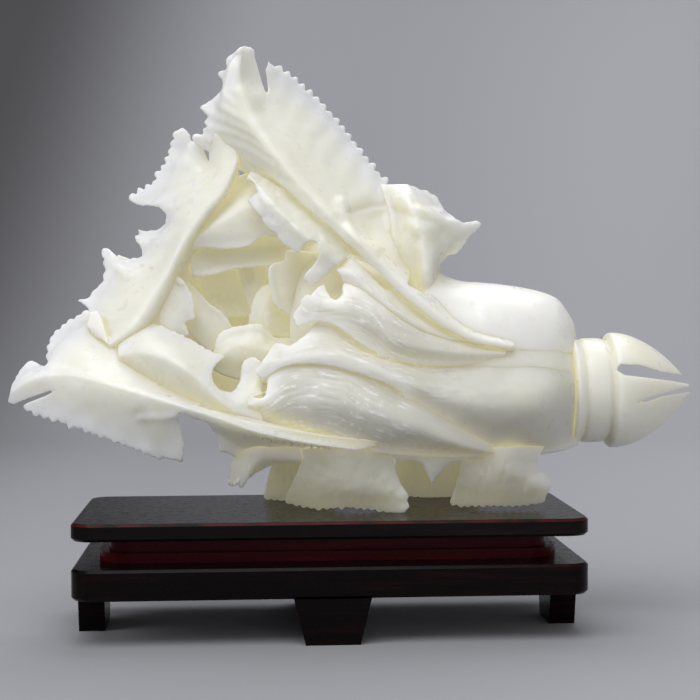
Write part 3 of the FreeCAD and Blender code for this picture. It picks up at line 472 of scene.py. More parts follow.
def margin_px(line, out, wide, teeth, wear, seed):
    """Seen margin with its teeth: each row of them from a place to a place, with their number and height."""
    line = np.asarray(line, float)
    places = np.linspace(0, 1, 1500)
    edge = curve(line[:, 0], line[:, 1:3], places)
    length = np.insert(np.cumsum(np.hypot(*np.diff(edge, axis=0).T)), 0, 0)
    even = np.linspace(0, length[-1], max(int(length[-1] / MARGIN_STEP_PX), 2))
    edge = np.stack([np.interp(even, length, edge[:, axis]) for axis in (0, 1)], -1)
    way = unit(np.gradient(edge, axis=0))
    way = unit(ironed(way, even / even[-1], 1.5 / even[-1]))
    side = np.stack([way[:, 1], -way[:, 0]], -1) * out
    coarse, fine = (noise(np.stack([even / long, even * 0], -1), seed + number)
                    for number, long in enumerate((3.2, 1.5)))
    reach = reach_at(wide, np.interp(even, length, places))
    # Where a leaf hardly runs on past its margin, another covers it, and the outline keeps clear
    rise = wear * (coarse + 0.5 * fine) + CLEAR_PX * (1 - ease(reach, 2, 4))
    for start, end, count, high in teeth:
        begin, finish = np.interp((start, end), places, length)
        place = (even - begin) / (finish - begin) * count
        inside = (place > 0) & (place < count)
        vary = 1 + TOOTH_VARIETY * (2 * hashed(np.floor(place), np.full(place.shape, seed)) - 1)
        tooth = np.abs(np.sin(math.pi * place))**TOOTH_ROUNDNESS
        rise = rise + np.where(inside, high * vary * tooth, 0)
    return edge + side * rise[:, None]


def sheet_px(lines, wide, first=(), last=(), end=(), wear=0.5, seed=0):
    """Seen outline of a leaf: first margin, its end beyond the tip, and the last margin back."""
    ways = np.linspace(0, 1, 41)
    ends = [np.asarray(line, float) for line in (lines[0], lines[-1])]
    near, far = (curve(line[:, 0], line[:, 1:3], ways) for line in ends)
    way = np.gradient(near + far, axis=0)
    over = far - near
    out = 1 if (way[:, 1] * over[:, 0] - way[:, 0] * over[:, 1]).sum() < 0 else -1
    outline = [margin_px(lines[0], out, wide[0], first, wear, seed)]
    if len(end):
        outline.append(np.asarray(end, float))
    outline.append(margin_px(lines[-1], -out, wide[1], last, wear, seed + 7)[::-1])
    return np.concatenate(outline)


def cut_out(piece, leaf, outline, voxel=0.45 * MM, drop=()):
    """Keep what lies inside the seen outline, round its edges off and mark the way to them."""
    outline = [tuple(point) for point in outline]
    combine(piece, prism(piece.name + "_sheet", outline), "INTERSECT")
    for number, hole in enumerate(drop):
        combine(piece, prism(f"{piece.name}_hole_{number}", hole), "DIFFERENCE")
    remesh(piece, voxel, rounds=2)
    mark(piece, leaf, outline)
    return piece


def search_tree(points):
    """Tree that finds the nearest of some points."""
    tree = KDTree(len(points))
    for number, point in enumerate(points):
        tree.insert(point, number)
    tree.balance()
    return tree


def mark(piece, leaf, outline):
    """Keep each point's distance from the outline, and its way along and across the leaf."""
    mesh = piece.data
    points = np.empty(len(mesh.vertices) * 3)
    mesh.vertices.foreach_get("co", points)
    points = points.reshape(-1, 3)
    column, row = seen(points)
    rim = search_tree([(u, v, 0) for u, v in outline])
    edge = np.array([rim.find((u, v, 0))[2] for u, v in zip(column, row)]) * PX
    mesh.attributes.new("from_edge", "FLOAT", "POINT").data.foreach_set("value", edge)
    tree = search_tree(leaf.points[::2, ::2].reshape(-1, 3))
    ways = np.stack([leaf.long_way, leaf.wide_way, leaf.long_way * 0], -1) * STROKE_SCALE
    ways = ways[::2, ::2].reshape(-1, 3)
    nearest = np.array([tree.find(point)[1] for point in points])
    along = mesh.attributes.new("along", "FLOAT_VECTOR", "POINT")
    along.data.foreach_set("vector", ways[nearest].reshape(-1))


# Guide lines of the leaves, from one margin over the rib to the other margin. Each point is its
# place along the leaf, from 0 at the base to 1 at the tip, then its column, row and depth in pixels.

UPPER_LEAF_PX = (
    [(0, 518, 352, -56), (.12, 468, 345, -62), (.25, 418, 318, -60), (.34, 375, 280, -54),
     (.42, 340, 248, -42), (.50, 308, 218, -30), (.58, 276, 196, -14), (.65, 240, 170, 8),
     (.70, 212, 154, 20), (.72, 200, 147, 23), (.735, 193, 141, 24), (.75, 194, 134, 24),
     (.765, 203, 134, 22), (.775, 203, 129, 21), (.785, 207, 127, 20), (.80, 204, 122, 20),
     (.815, 208, 117, 20), (.835, 200, 108, 22), (.86, 210, 101, 19), (.885, 220, 92, 16),
     (.90, 223, 84, 14), (.925, 218, 72, 15), (.94, 226, 69, 14), (.955, 226, 60, 13), (.975, 232, 54, 12),
     (1, 240, 47, 10)],
    [(0, 515, 349, -64), (.12, 469, 340, -70), (.25, 421, 311, -68), (.42, 346, 242, -52),
     (.58, 288, 190, -30), (.70, 244, 142, -4), (.83, 222, 104, 8), (.93, 228, 72, 8), (1, 239, 49, 10)],
    [(0, 512, 346, -66), (.12, 470, 335, -71), (.25, 426, 305, -70), (.42, 353, 236, -56),
     (.58, 301, 186, -38), (.75, 251, 127, -14), (.83, 240, 106, -4), (.90, 236, 84, 2), (1, 241, 48, 8)],
    [(0, 508, 340, -58), (.12, 468, 328, -56), (.25, 434, 298, -44), (.42, 382, 246, -30),
     (.58, 348, 188, -8), (.70, 312, 136, 10), (.80, 276, 100, 16), (.90, 246, 78, 12), (1, 243, 48, 10)],
    [(0, 509, 337, -50), (.12, 463, 320, -46), (.25, 436, 300, -34), (.31, 420, 291, -26),
     (.34, 408, 284, -20), (.36, 410, 276, -17), (.375, 408, 268, -15), (.39, 404, 262, -13),
     (.41, 403, 250, -9), (.425, 405, 242, -6), (.44, 399, 236, -3), (.46, 394, 226, 1), (.50, 394, 212, 8),
     (.54, 391, 200, 14), (.58, 388, 189, 20), (.63, 376, 176, 26), (.70, 349, 142, 32),
     (.77, 322, 109, 36), (.84, 294, 84, 36), (.895, 272, 65, 32), (.93, 261, 54, 24), (.965, 253, 49, 16),
     (1, 245, 46, 11)],
)

INNER_RIGHT_LEAF_PX = (
    [(0, 250, 173, -6), (.25, 275, 187, -20), (.50, 302, 208, -32), (.75, 328, 232, -42),
     (1, 348, 256, -46)],
    [(0, 249, 176, -16), (.25, 268, 198, -38), (.50, 292, 224, -50), (.75, 316, 244, -56),
     (1, 338, 264, -54)],
    [(0, 246, 180, -8), (.08, 255, 184, -16), (.12, 257, 192, -22), (.17, 249, 200, -24),
     (.22, 252, 208, -28), (.30, 262, 217, -34), (.36, 266, 226, -36), (.42, 275, 233, -40),
     (.50, 285, 245, -44), (.57, 296, 251, -46), (.66, 299, 262, -46), (.76, 302, 273, -46),
     (.82, 306, 281, -46), (.87, 311, 286, -46), (.93, 322, 278, -48), (1, 334, 268, -48)],
)

BACK_LEFT_LEAF_PX = (
    [(0, 192, 142, 40), (.015, 189, 134, 44), (.03, 183, 128, 48), (.05, 178, 131, 49), (.07, 176, 139, 50),
     (.10, 173, 147, 51), (.13, 171, 156, 52), (.16, 167, 165, 53), (.19, 161, 174, 54),
     (.22, 157, 182, 54), (.25, 151, 188, 54), (.28, 143, 193, 54), (.31, 136, 197, 54),
     (.325, 131, 201, 54), (.34, 138, 205, 50), (.36, 151, 206, 46), (.38, 161, 209, 43),
     (.395, 166, 215, 42), (.41, 165, 223, 42), (.43, 159, 229, 42), (.455, 150, 231, 43),
     (.48, 143, 231, 45), (.50, 138, 229, 46), (.52, 135, 234, 46), (.54, 136, 241, 46),
     (.56, 141, 248, 44), (.58, 142, 257, 43), (.60, 133, 258, 43), (.615, 128, 260, 43),
     (.635, 119, 258, 44), (.65, 113, 253, 46), (.665, 107, 248, 48), (.685, 103, 253, 48),
     (.70, 105, 262, 47), (.72, 106, 270, 45), (.74, 105, 277, 44), (.76, 103, 285, 42), (.78, 96, 290, 41),
     (.80, 90, 297, 39), (.82, 78, 300, 36), (.845, 86, 306, 33), (.865, 90, 314, 28), (.91, 88, 324, 16),
     (.955, 94, 334, 7), (1, 106, 342, -2)],
    [(0, 206, 168, 30), (.20, 194, 182, 24), (.40, 180, 212, 18), (.60, 158, 258, 16), (.80, 118, 302, 14),
     (1, 107, 344, -4)],
    [(0, 213, 131, 20), (.05, 221, 139, 16), (.12, 236, 154, 8), (.22, 228, 184, 0), (.38, 204, 216, -4),
     (.55, 181, 250, -8), (.70, 163, 286, -12), (.85, 138, 326, -14), (1, 110, 346, -8)],
    [(0, 220, 136, 34), (.12, 246, 160, 30), (.22, 246, 190, 34), (.38, 228, 222, 34), (.55, 207, 262, 30),
     (.70, 190, 298, 24), (.85, 166, 336, 16), (1, 122, 352, 6)],
)

LOWER_LEFT_LEAF_PX = (
    [(0, 8, 402, -6), (.03, 14, 405, -9), (.08, 25, 407, -16), (.15, 56, 418, -32), (.22, 92, 431, -45),
     (.28, 130, 445, -54), (.325, 152, 454, -56), (.35, 163, 458, -56), (.368, 175, 460, -56),
     (.383, 183, 459, -56), (.393, 184, 440, -60), (.403, 178, 417, -68), (.425, 195, 419, -72),
     (.45, 210, 426, -70), (.462, 217, 438, -64), (.472, 220, 450, -58), (.483, 223, 458, -54),
     (.50, 236, 462, -52), (.55, 262, 458, -54), (.60, 290, 451, -56), (.68, 345, 463, -56),
     (.76, 394, 464, -56), (.84, 450, 464, -54), (.91, 510, 464, -48), (.96, 545, 464, -38),
     (1, 567, 448, -30)],
    [(0, 10, 392, -10), (.08, 34, 378, -20), (.15, 60, 374, -31), (.25, 98, 381, -48), (.35, 140, 394, -64),
     (.48, 210, 415, -78), (.58, 257, 432, -80), (.70, 330, 446, -80), (.85, 430, 455, -74),
     (1, 562, 450, -46)],
    [(0, 12, 385, -4), (.05, 22, 368, -6), (.08, 30, 361, -4), (.115, 47, 364, -6), (.13, 49, 352, 4),
     (.15, 51, 341, 8), (.18, 62, 330, 12), (.215, 72, 321, 14), (.25, 90, 313, 16), (.29, 106, 325, 6),
     (.33, 122, 350, -14), (.37, 145, 372, -34), (.43, 185, 398, -54), (.50, 228, 412, -62),
     (.58, 262, 424, -66), (.70, 330, 438, -68), (.85, 430, 446, -64), (1, 560, 444, -38)],
)

INNER_FRONT_LEAF_PX = (
    [(0, 118, 344, -6), (.10, 126, 335, -8), (.22, 145, 324, -8), (.40, 175, 333, -12),
     (.58, 205, 349, -18), (.68, 214, 353, -22), (.75, 224, 357, -24), (.80, 215, 366, -28),
     (.84, 212, 375, -30), (.88, 218, 388, -34), (.92, 233, 391, -36), (.95, 240, 379, -34),
     (.97, 243, 362, -30), (.985, 252, 357, -30), (1, 262, 362, -30)],
    [(0, 118, 356, -22), (.22, 145, 354, -42), (.40, 178, 366, -56), (.60, 205, 384, -60),
     (.80, 222, 400, -60), (.92, 238, 404, -56), (1, 262, 394, -50)],
    [(0, 124, 368, -14), (.20, 150, 384, -34), (.40, 185, 400, -48), (.60, 215, 411, -56),
     (.80, 240, 418, -58), (1, 264, 420, -58)],
)

MAIN_FRONT_STALK_PX = (
    [(0, 574, 350, -26), (.10, 550, 349, -52), (.30, 490, 350, -64), (.50, 430, 355, -71),
     (.65, 390, 349, -72), (.75, 362, 336, -69), (.82, 343, 323, -66), (.88, 322, 317, -62),
     (.93, 304, 336, -58), (.96, 290, 345, -54), (.985, 277, 343, -50), (1, 270, 349, -48)],
    [(0, 576, 395, -50), (.10, 552, 402, -78), (.30, 490, 404, -88), (.50, 430, 390, -87),
     (.65, 390, 374, -85), (.78, 345, 357, -79), (.88, 310, 356, -72), (1, 262, 362, -54)],
    [(0, 574, 441, -26), (.10, 550, 452, -46), (.22, 510, 453, -60), (.30, 480, 444, -74),
     (.42, 440, 418, -84), (.50, 415, 401, -86), (.60, 385, 383, -86), (.70, 350, 371, -82),
     (.80, 318, 364, -76), (.90, 285, 366, -66), (1, 266, 379, -56)],
)

LOWER_FRONT_STALK_PX = (
    [(0, 500, 450, -60), (.10, 468, 428, -72), (.25, 434, 402, -80), (.40, 404, 385, -81),
     (.55, 362, 367, -78), (.70, 320, 357, -71), (.85, 285, 362, -61), (.92, 268, 379, -57),
     (.95, 266, 394, -58), (1, 249, 399, -54)],
    [(0, 500, 454, -62), (.10, 462, 444, -77), (.25, 425, 430, -87), (.40, 395, 420, -90),
     (.55, 355, 408, -88), (.70, 315, 402, -80), (.85, 280, 402, -68), (1, 247, 405, -57)],
    [(0, 500, 456, -58), (.10, 460, 455, -66), (.25, 420, 454, -70), (.40, 385, 452, -70),
     (.55, 345, 449, -68), (.70, 305, 441, -60), (.85, 272, 430, -54), (1, 252, 414, -50)],
)

MIDDLE_FRONT_STALK_PX = (
    [(0, 505, 348, -56), (.15, 462, 340, -62), (.35, 423, 328, -65), (.50, 397, 313, -65),
     (.62, 373, 294, -62), (.75, 352, 285, -60), (.80, 344, 284, -56), (.86, 341, 296, -56),
     (.90, 333, 300, -56), (.95, 327, 290, -52), (1, 323, 284, -50)],
    [(0, 505, 354, -64), (.15, 458, 353, -75), (.35, 415, 346, -79), (.50, 388, 336, -78),
     (.65, 360, 318, -73), (.80, 335, 308, -66), (.90, 318, 304, -61), (1, 306, 294, -56)],
    [(0, 505, 359, -60), (.15, 460, 363, -72), (.35, 415, 363, -77), (.50, 385, 357, -76),
     (.65, 358, 342, -72), (.78, 334, 325, -68), (.88, 314, 322, -62), (.94, 298, 326, -56),
     (1, 293, 314, -52)],
)

UPPER_FRONT_STALK_PX = (
    [(0, 485, 342, -58), (.20, 440, 330, -64), (.40, 405, 308, -64), (.60, 378, 283, -58),
     (.80, 352, 258, -50), (.90, 342, 259, -46), (1, 338, 266, -44)],
    [(0, 485, 345, -62), (.20, 438, 335, -69), (.40, 402, 316, -70), (.60, 374, 294, -65),
     (.80, 352, 276, -58), (1, 336, 270, -50)],
    [(0, 485, 349, -60), (.20, 436, 340, -66), (.40, 400, 325, -67), (.60, 372, 303, -64),
     (.80, 352, 286, -58), (1, 342, 281, -50)],
)

BACK_STALK_PX = (
    [(0, 575, 352, -30), (.15, 556, 352, -50), (.40, 500, 346, -60), (.70, 450, 326, -54),
     (1, 424, 300, -44)],
    [(0, 576, 338, 2), (.08, 572, 321, 6), (.15, 563, 305, 10), (.25, 546, 294, 12), (.40, 508, 286, 14),
     (.70, 460, 281, 14), (1, 430, 268, 12)],
    [(0, 573, 366, 40), (.15, 552, 372, 62), (.40, 500, 368, 74), (.70, 452, 360, 76), (1, 415, 340, 76)],
)

BACK_CURLED_LEAF_PX = (
    [(0, 415, 300, -30), (.30, 404, 268, -24), (.50, 398, 240, -18), (.70, 394, 215, -8),
     (.85, 388, 196, 2), (1, 384, 182, 16)],
    [(0, 428, 292, -34), (.30, 425, 262, -38), (.50, 420, 236, -38), (.70, 412, 212, -30),
     (.85, 405, 196, -14), (1, 402, 184, 4)],
    [(0, 446, 280, 0), (.10, 440, 272, 6), (.20, 440, 266, 10), (.35, 447, 257, 12), (.48, 460, 250, 12),
     (.58, 470, 236, 12), (.66, 481, 222, 12), (.70, 472, 221, 14), (.74, 463, 223, 14),
     (.78, 455, 218, 15), (.83, 447, 212, 16), (.87, 442, 206, 17), (.91, 436, 197, 18),
     (.94, 429, 192, 19), (.97, 419, 189, 20), (1, 408, 184, 20)],
)

HEART_CUP_PX = (
    [(0, 226, 160, 22), (.20, 208, 212, 18), (.40, 184, 256, 14), (.60, 168, 292, 10), (.80, 140, 330, 8),
     (1, 122, 352, 4)],
    [(0, 255, 184, 46), (.20, 262, 235, 66), (.40, 255, 290, 76), (.60, 245, 330, 76), (.80, 225, 370, 62),
     (1, 180, 388, 32)],
    [(0, 290, 190, 30), (.20, 326, 240, 36), (.40, 334, 285, 24), (.60, 332, 340, 16), (.80, 315, 385, 12),
     (1, 250, 408, -4)],
)

TOP_INNER_LEAF_PX = (
    [(0, 190, 236, 16), (.30, 206, 208, 26), (.65, 230, 184, 30), (1, 256, 174, 20)],
    [(0, 187, 244, 2), (.30, 212, 228, 0), (.65, 240, 212, -2), (1, 268, 202, -8)],
    [(0, 188, 251, 8), (.10, 200, 248, 6), (.30, 220, 249, 4), (.50, 240, 248, 2), (.65, 252, 244, 0),
     (.80, 264, 236, -2), (.90, 272, 236, -4), (1, 284, 240, -6)],
)

RIGHT_PETAL_PX = (
    [(0, 286, 250, -6), (.08, 284, 260, -6), (.14, 277, 262, -8), (.20, 271, 265, -8), (.40, 269, 280, -8),
     (.60, 271, 294, -8), (.80, 276, 307, -7), (.90, 284, 312, -6), (1, 292, 318, -6)],
    [(0, 296, 250, -8), (.40, 286, 284, -8), (1, 298, 316, -6)],
    [(0, 312, 254, -4), (.40, 316, 286, -2), (1, 308, 314, 0)],
)

LOWER_PETAL_PX = (
    [(0, 213, 352, 2), (.10, 216, 341, 2), (.20, 221, 332, 2), (.28, 230, 328, 2), (.42, 244, 325, 2),
     (.58, 261, 325, 2), (.68, 269, 332, 2), (.76, 274, 337, 3), (.88, 288, 338, 4), (1, 300, 344, 4)],
    [(0, 213, 360, -8), (.40, 240, 346, -8), (.70, 268, 350, -10), (1, 300, 354, -10)],
    [(0, 216, 368, -4), (.40, 242, 376, -8), (.70, 266, 380, -10), (1, 298, 372, -8)],
)

LEFT_PETAL_PX = (
    [(0, 146, 264, 22), (.40, 138, 290, 20), (.70, 132, 314, 18), (1, 136, 340, 16)],
    [(0, 160, 268, 6), (.40, 162, 292, -2), (.70, 162, 318, -6), (1, 166, 344, -10)],
    [(0, 174, 276, 2), (.18, 182, 279, 0), (.30, 188, 287, -2), (.45, 193, 298, -3), (.60, 195, 310, -4),
     (.72, 194, 320, -4), (.80, 187, 321, -4), (1, 190, 336, -4)],
)

INNER_FOLD_PX = (
    [(0, 190, 238, 24), (.33, 216, 222, 34), (.66, 242, 215, 38), (1, 296, 222, 34)],
    [(0, 187, 257, 14), (.33, 214, 250, 20), (.66, 242, 244, 20), (1, 298, 248, 14)],
    [(0, 192, 276, 14), (.12, 203, 277, 15), (.25, 217, 274, 16), (.42, 230, 270, 16), (.55, 244, 268, 15),
     (.75, 266, 266, 13), (1, 298, 264, 12)],
)

DEEP_RIGHT_PETAL_PX = (
    [(0, 248, 334, 10), (.25, 249, 320, 12), (.50, 252, 305, 14), (.75, 257, 292, 17), (.90, 263, 286, 19),
     (1, 270, 284, 21)],
    [(0, 262, 336, 6), (.50, 265, 308, 8), (1, 276, 284, 16)],
    [(0, 290, 338, 12), (.50, 292, 312, 14), (1, 292, 286, 18)],
)

DEEP_LEFT_PETAL_PX = (
    [(0, 190, 282, 22), (.30, 200, 293, 18), (.60, 213, 306, 15), (.80, 225, 315, 14), (1, 235, 331, 12)],
    [(0, 184, 300, 14), (.50, 200, 318, 10), (1, 222, 340, 8)],
    [(0, 182, 315, 14), (.50, 196, 334, 10), (1, 214, 348, 8)],
)

DEEP_MIDDLE_PETAL_PX = (
    [(0, 236, 258, 40), (.50, 242, 284, 36), (1, 251, 312, 30)],
    [(0, 252, 260, 32), (.50, 257, 285, 28), (1, 260, 312, 26)],
    [(0, 270, 260, 36), (.50, 272, 285, 34), (1, 270, 312, 32)],
)

DEEP_BACK_PETAL_PX = (
    [(0, 196, 272, 40), (.50, 204, 292, 40), (1, 222, 318, 34)],
    [(0, 216, 268, 46), (.50, 222, 292, 46), (1, 236, 316, 40)],
    [(0, 240, 270, 52), (.50, 246, 292, 50), (1, 254, 318, 44)],
)

REAR_UPPER_LEAF_PX = (
    [(0, 573, 356, 20), (.20, 500, 318, 35), (.40, 420, 262, 50), (.60, 330, 215, 62), (.80, 250, 180, 68),
     (1, 196, 165, 74)],
    [(0, 573, 376, 40), (.20, 500, 350, 66), (.40, 420, 315, 78), (.60, 330, 275, 88), (.80, 250, 235, 94),
     (1, 200, 200, 90)],
    [(0, 573, 396, 36), (.20, 500, 392, 60), (.40, 420, 375, 68), (.60, 340, 345, 80), (.80, 262, 300, 88),
     (1, 215, 240, 86)],
)

REAR_LOWER_LEAF_PX = (
    [(0, 573, 394, 36), (.20, 500, 388, 60), (.40, 420, 370, 66), (.60, 330, 340, 78), (.80, 240, 300, 84),
     (1, 118, 256, 78)],
    [(0, 573, 416, 32), (.20, 500, 422, 56), (.40, 420, 420, 70), (.60, 330, 400, 84), (.80, 235, 360, 92),
     (1, 115, 300, 88)],
    [(0, 572, 436, 10), (.20, 500, 448, 28), (.40, 420, 455, 42), (.60, 330, 450, 56), (.80, 240, 430, 68),
     (1, 140, 360, 72)],
)

FRONT_LEFT_FOOT_PX = (
    [(0, 301, 448, -50), (.25, 301, 461, -46), (.55, 294, 480, -36), (.85, 286, 496, -22),
     (1, 285, 499, -18)],
    [(0, 346, 448, -72), (.30, 346, 466, -66), (.65, 346, 490, -58), (1, 346, 508, -44)],
    [(0, 392, 448, -54), (.25, 394, 463, -52), (.55, 400, 482, -52), (.85, 408, 496, -54),
     (1, 407, 501, -54)],
)
FRONT_LEFT_SOLE_PX = [(285, 500), (293, 503), (318, 507), (346, 506), (375, 508), (398, 512), (405, 510),
                      (407, 502)]

FRONT_RIGHT_FOOT_PX = (
    [(0, 467, 448, -50), (.25, 462, 462, -46), (.55, 457, 481, -40), (1, 450, 501, -30)],
    [(0, 505, 448, -66), (.30, 505, 466, -62), (.65, 503, 486, -54), (1, 502, 504, -44)],
    [(0, 545, 446, -46), (.20, 537, 460, -44), (.40, 540, 469, -42), (.60, 551, 481, -40),
     (.80, 550, 489, -40), (1, 544, 500, -40)],
)
FRONT_RIGHT_SOLE_PX = [(450, 501), (460, 504), (480, 504), (505, 504), (530, 503), (542, 501), (545, 499)]

BACK_LEFT_FOOT_PX = (
    [(0, 282, 436, 50), (.50, 270, 470, 56), (1, 264, 497, 62)],
    [(0, 310, 440, 38), (.60, 298, 478, 46), (1, 292, 498, 50)],
    [(0, 345, 436, 50), (.60, 336, 475, 58), (1, 334, 498, 62)],
)
BACK_LEFT_SOLE_PX = [(264, 496), (280, 499), (300, 499), (334, 498)]

BACK_RIGHT_FOOT_PX = (
    [(0, 400, 436, 60), (.60, 394, 470, 68), (1, 388, 494, 74)],
    [(0, 438, 440, 46), (.60, 434, 472, 58), (1, 432, 495, 64)],
    [(0, 484, 436, 60), (.60, 478, 470, 68), (1, 480, 494, 74)],
)
BACK_RIGHT_SOLE_PX = [(388, 494), (410, 495), (440, 496), (480, 495)]

LEFT_STUB_PX = (
    [(0, 238, 446, -48), (.50, 231, 466, -42), (1, 228, 484, -36)],
    [(0, 262, 446, -56), (.50, 252, 464, -50), (1, 244, 484, -44)],
    [(0, 300, 446, -52), (.20, 302, 460, -50), (.45, 275, 464, -44), (.70, 258, 472, -40),
     (1, 246, 481, -38)],
)
LEFT_STUB_SOLE_PX = [(227, 479), (231, 485), (238, 484), (244, 486), (247, 480)]

FRONT_FRINGE_PX = (
    [(0, 380, 440, -64), (.30, 393, 464, -58), (.40, 400, 461, -58), (.60, 412, 461, -58),
     (1, 428, 482, -52)],
    [(0, 430, 440, -70), (.50, 430, 462, -64), (1, 432, 484, -52)],
    [(0, 480, 440, -62), (.30, 465, 461, -56), (.40, 458, 461, -56), (.60, 450, 462, -56),
     (1, 436, 482, -52)],
)
FRONT_FRINGE_SHEET_PX = [(378, 440), (390, 458), (394.3, 468), (396, 464), (403, 461.7), (412, 461),
                         (419, 462), (423, 465), (426.5, 472), (429.5, 479.5), (431.5, 482.5), (434, 482),
                         (437.5, 478.5), (441, 472), (446, 466.4), (451, 463), (456, 461.8), (461, 462.5),
                         (464, 467), (467, 458), (482, 440)]

# Rings of the heart's core from the neck on: top, near, low and far point, as column, row and depth
HEART_CORE_PX = (
    ((574, 344, 0), (574, 392, -48), (574, 438, 0), (574, 392, 48)),
    ((545, 312, 0), (545, 385, -62), (545, 448, -5), (545, 385, 62)),
    ((470, 300, 5), (470, 370, -66), (470, 444, 0), (470, 370, 68)),
    ((380, 265, 20), (380, 345, -60), (380, 436, 5), (380, 345, 70)),
    ((310, 240, 35), (310, 330, -30), (310, 420, 15), (310, 325, 75)),
    ((290, 262, 40), (290, 330, -10), (290, 400, 20), (290, 330, 70)),
)


# Makers of the pieces. How far a leaf runs on is in millimetres, and what is seen is in pixels.


def upper_leaf(name):
    wide = ([(.50, 2), (.57, 15), (.9, 15), (1, 8)], [(.27, 2), (.33, 8), (1, 10)])
    leaf = Leaf(UPPER_LEAF_PX, rows=260, columns=84, soft=0.75, iron=.06, wide=wide)
    leaf.crease([(262, 112), (285, 145), (312, 180), (345, 218)], 1.6 * MM, 12)
    leaf.crease([(240, 92), (262, 128), (290, 168), (330, 215)], -1.0 * MM, 7)
    leaf.crease([(340, 203), (346, 220), (358, 238), (376, 248)], -1.4 * MM, 6)
    leaf.crease([(384, 190), (390, 208), (393, 226)], -1.0 * MM, 4)
    leaf.dent((374, 224, -8), 2.6 * MM, 22, 19, turn=-0.6, hard=1.6)
    leaf.crease([(350, 212), (372, 206), (388, 204)], 0.7 * MM, 3)
    leaf.crease([(228, 62), (242, 80), (256, 96)], -0.6 * MM, 7)
    leaf.veins(0.47, 0.16 * MM, 10 * MM, 0.7, 22 * MM, seed=3)
    leaf.worn(0.22 * MM, 10 * MM, 11)
    piece = leaf.shell(name, 1.5 * MM, 5.0 * MM, ramp=20 * MM, tip=10 * MM)
    sheet = sheet_px(UPPER_LEAF_PX, wide, last=[(.592, .888, 17, 5.8)], wear=0.45, seed=21)
    slit = [(253, 40), (255, 58), (259, 72), (262.5, 84), (266.6, 96), (268, 90), (267, 80), (265.3, 70),
            (268, 64), (266, 40)]
    return cut_out(piece, leaf, sheet, drop=[slit])


def inner_right_leaf(name):
    wide = (2, 8)
    leaf = Leaf(INNER_RIGHT_LEAF_PX, rows=200, columns=44, soft=0.5, iron=.09, wide=wide)
    leaf.crease([(270, 196), (300, 222), (318, 236)], 0.5 * MM, 5)
    leaf.worn(0.35 * MM, 3.5 * MM, 12)
    leaf.lip(True, 0.8 * MM, 2.2 * MM)
    piece = leaf.shell(name, 1.5 * MM, 4.0 * MM, ramp=8 * MM, tip=3 * MM)
    sheet = sheet_px(INNER_RIGHT_LEAF_PX, wide, wear=0.9, seed=32)
    bay = [(299, 252), (304, 244), (311, 240), (318, 243), (320, 251), (317, 260), (311, 268), (304, 275),
           (296, 280), (288, 262)]
    return cut_out(piece, leaf, sheet, drop=[bay])


def back_left_leaf(name):
    wide = (15, 2)
    leaf = Leaf(BACK_LEFT_LEAF_PX, rows=260, columns=64, soft=0.9, iron=.06, wide=wide)
    leaf.crease([(119, 262), (128, 268), (138, 265)], 0.7 * MM, 3)
    leaf.crease([(110, 256), (120, 270), (136, 274)], -0.7 * MM, 5)
    leaf.veins(0.7, 0.16 * MM, 11 * MM, 0.5, 16 * MM, seed=4, first_only=True)
    leaf.worn(0.25 * MM, 9 * MM, 13)
    piece = leaf.shell(name, 1.5 * MM, 5.0 * MM, ramp=18 * MM, tip=6 * MM)
    teeth = [(.05, .325, 10, 5.5), (.67, .80, 5, 2.5), (.87, .98, 4, 2.0)]
    sheet = sheet_px(BACK_LEFT_LEAF_PX, wide, first=teeth, seed=22)
    bay = [(192, 130), (196, 141), (203, 148), (210, 146), (214, 138), (212, 130), (205, 118)]
    return cut_out(piece, leaf, sheet, drop=[bay])


def lower_left_leaf(name):
    wide = ([(0, 12), (.53, 14), (.60, 2)], [(.36, 10), (.42, 2)])
    leaf = Leaf(LOWER_LEFT_LEAF_PX, rows=300, columns=64, soft=0.45, iron=.05, wide=wide)
    leaf.crease([(44, 364), (70, 372), (100, 380), (140, 392), (180, 403)], -0.5 * MM, 4)
    leaf.dent((108, 358, -10), 1.8 * MM, 34, 14, turn=-0.6)
    leaf.dent((38, 378, -20), -0.8 * MM, 22, 9, turn=0.3)
    leaf.crease([(138, 416), (150, 438), (160, 458)], 0.9 * MM, 8)
    leaf.crease([(140, 418), (165, 417), (182, 414)], -0.7 * MM, 4)
    leaf.veins(0.5, 0.14 * MM, 12 * MM, -0.6, 16 * MM, seed=5, first_only=True)
    leaf.worn(0.25 * MM, 9 * MM, 14)
    piece = leaf.shell(name, 1.5 * MM, 5.0 * MM, ramp=16 * MM, tip=4 * MM, base=10 * MM)
    sheet = sheet_px(LOWER_LEFT_LEAF_PX, wide, first=[(.075, .19, 6, 4.5), (.19, .35, 12, 3.2)],
                     last=[(.12, .25, 8, 2.8)], wear=0.5, seed=23)
    slit = [(-10, 414), (7, 407), (11, 405.6), (20, 401.5), (30, 397.5), (45, 392.5), (59, 388),
            (58, 389.5), (46, 395.5), (36, 399.5), (27, 403), (24, 405), (22.5, 409), (18, 414), (0, 420)]
    under = [(288, 453), (300, 451), (330, 451.5), (362, 449), (395, 441), (430, 437), (600, 437),
             (600, 500), (288, 500)]
    return cut_out(piece, leaf, sheet, drop=[slit, under])


def inner_front_leaf(name):
    wide = (9, 2)
    leaf = Leaf(INNER_FRONT_LEAF_PX, rows=220, columns=52, soft=0.6, iron=.06, wide=wide)
    leaf.dent((160, 352, -44), -0.8 * MM, 26, 12, turn=-0.4)
    leaf.worn(0.3 * MM, 8 * MM, 15)
    leaf.lip(False, 0.8 * MM, 2.6 * MM, start=.3)
    piece = leaf.shell(name, 1.5 * MM, 5 * MM, ramp=14 * MM, tip=4 * MM)
    sheet = sheet_px(INNER_FRONT_LEAF_PX, wide, first=[(.30, .66, 8, 1.6)], wear=0.6, seed=37)
    return cut_out(piece, leaf, sheet)


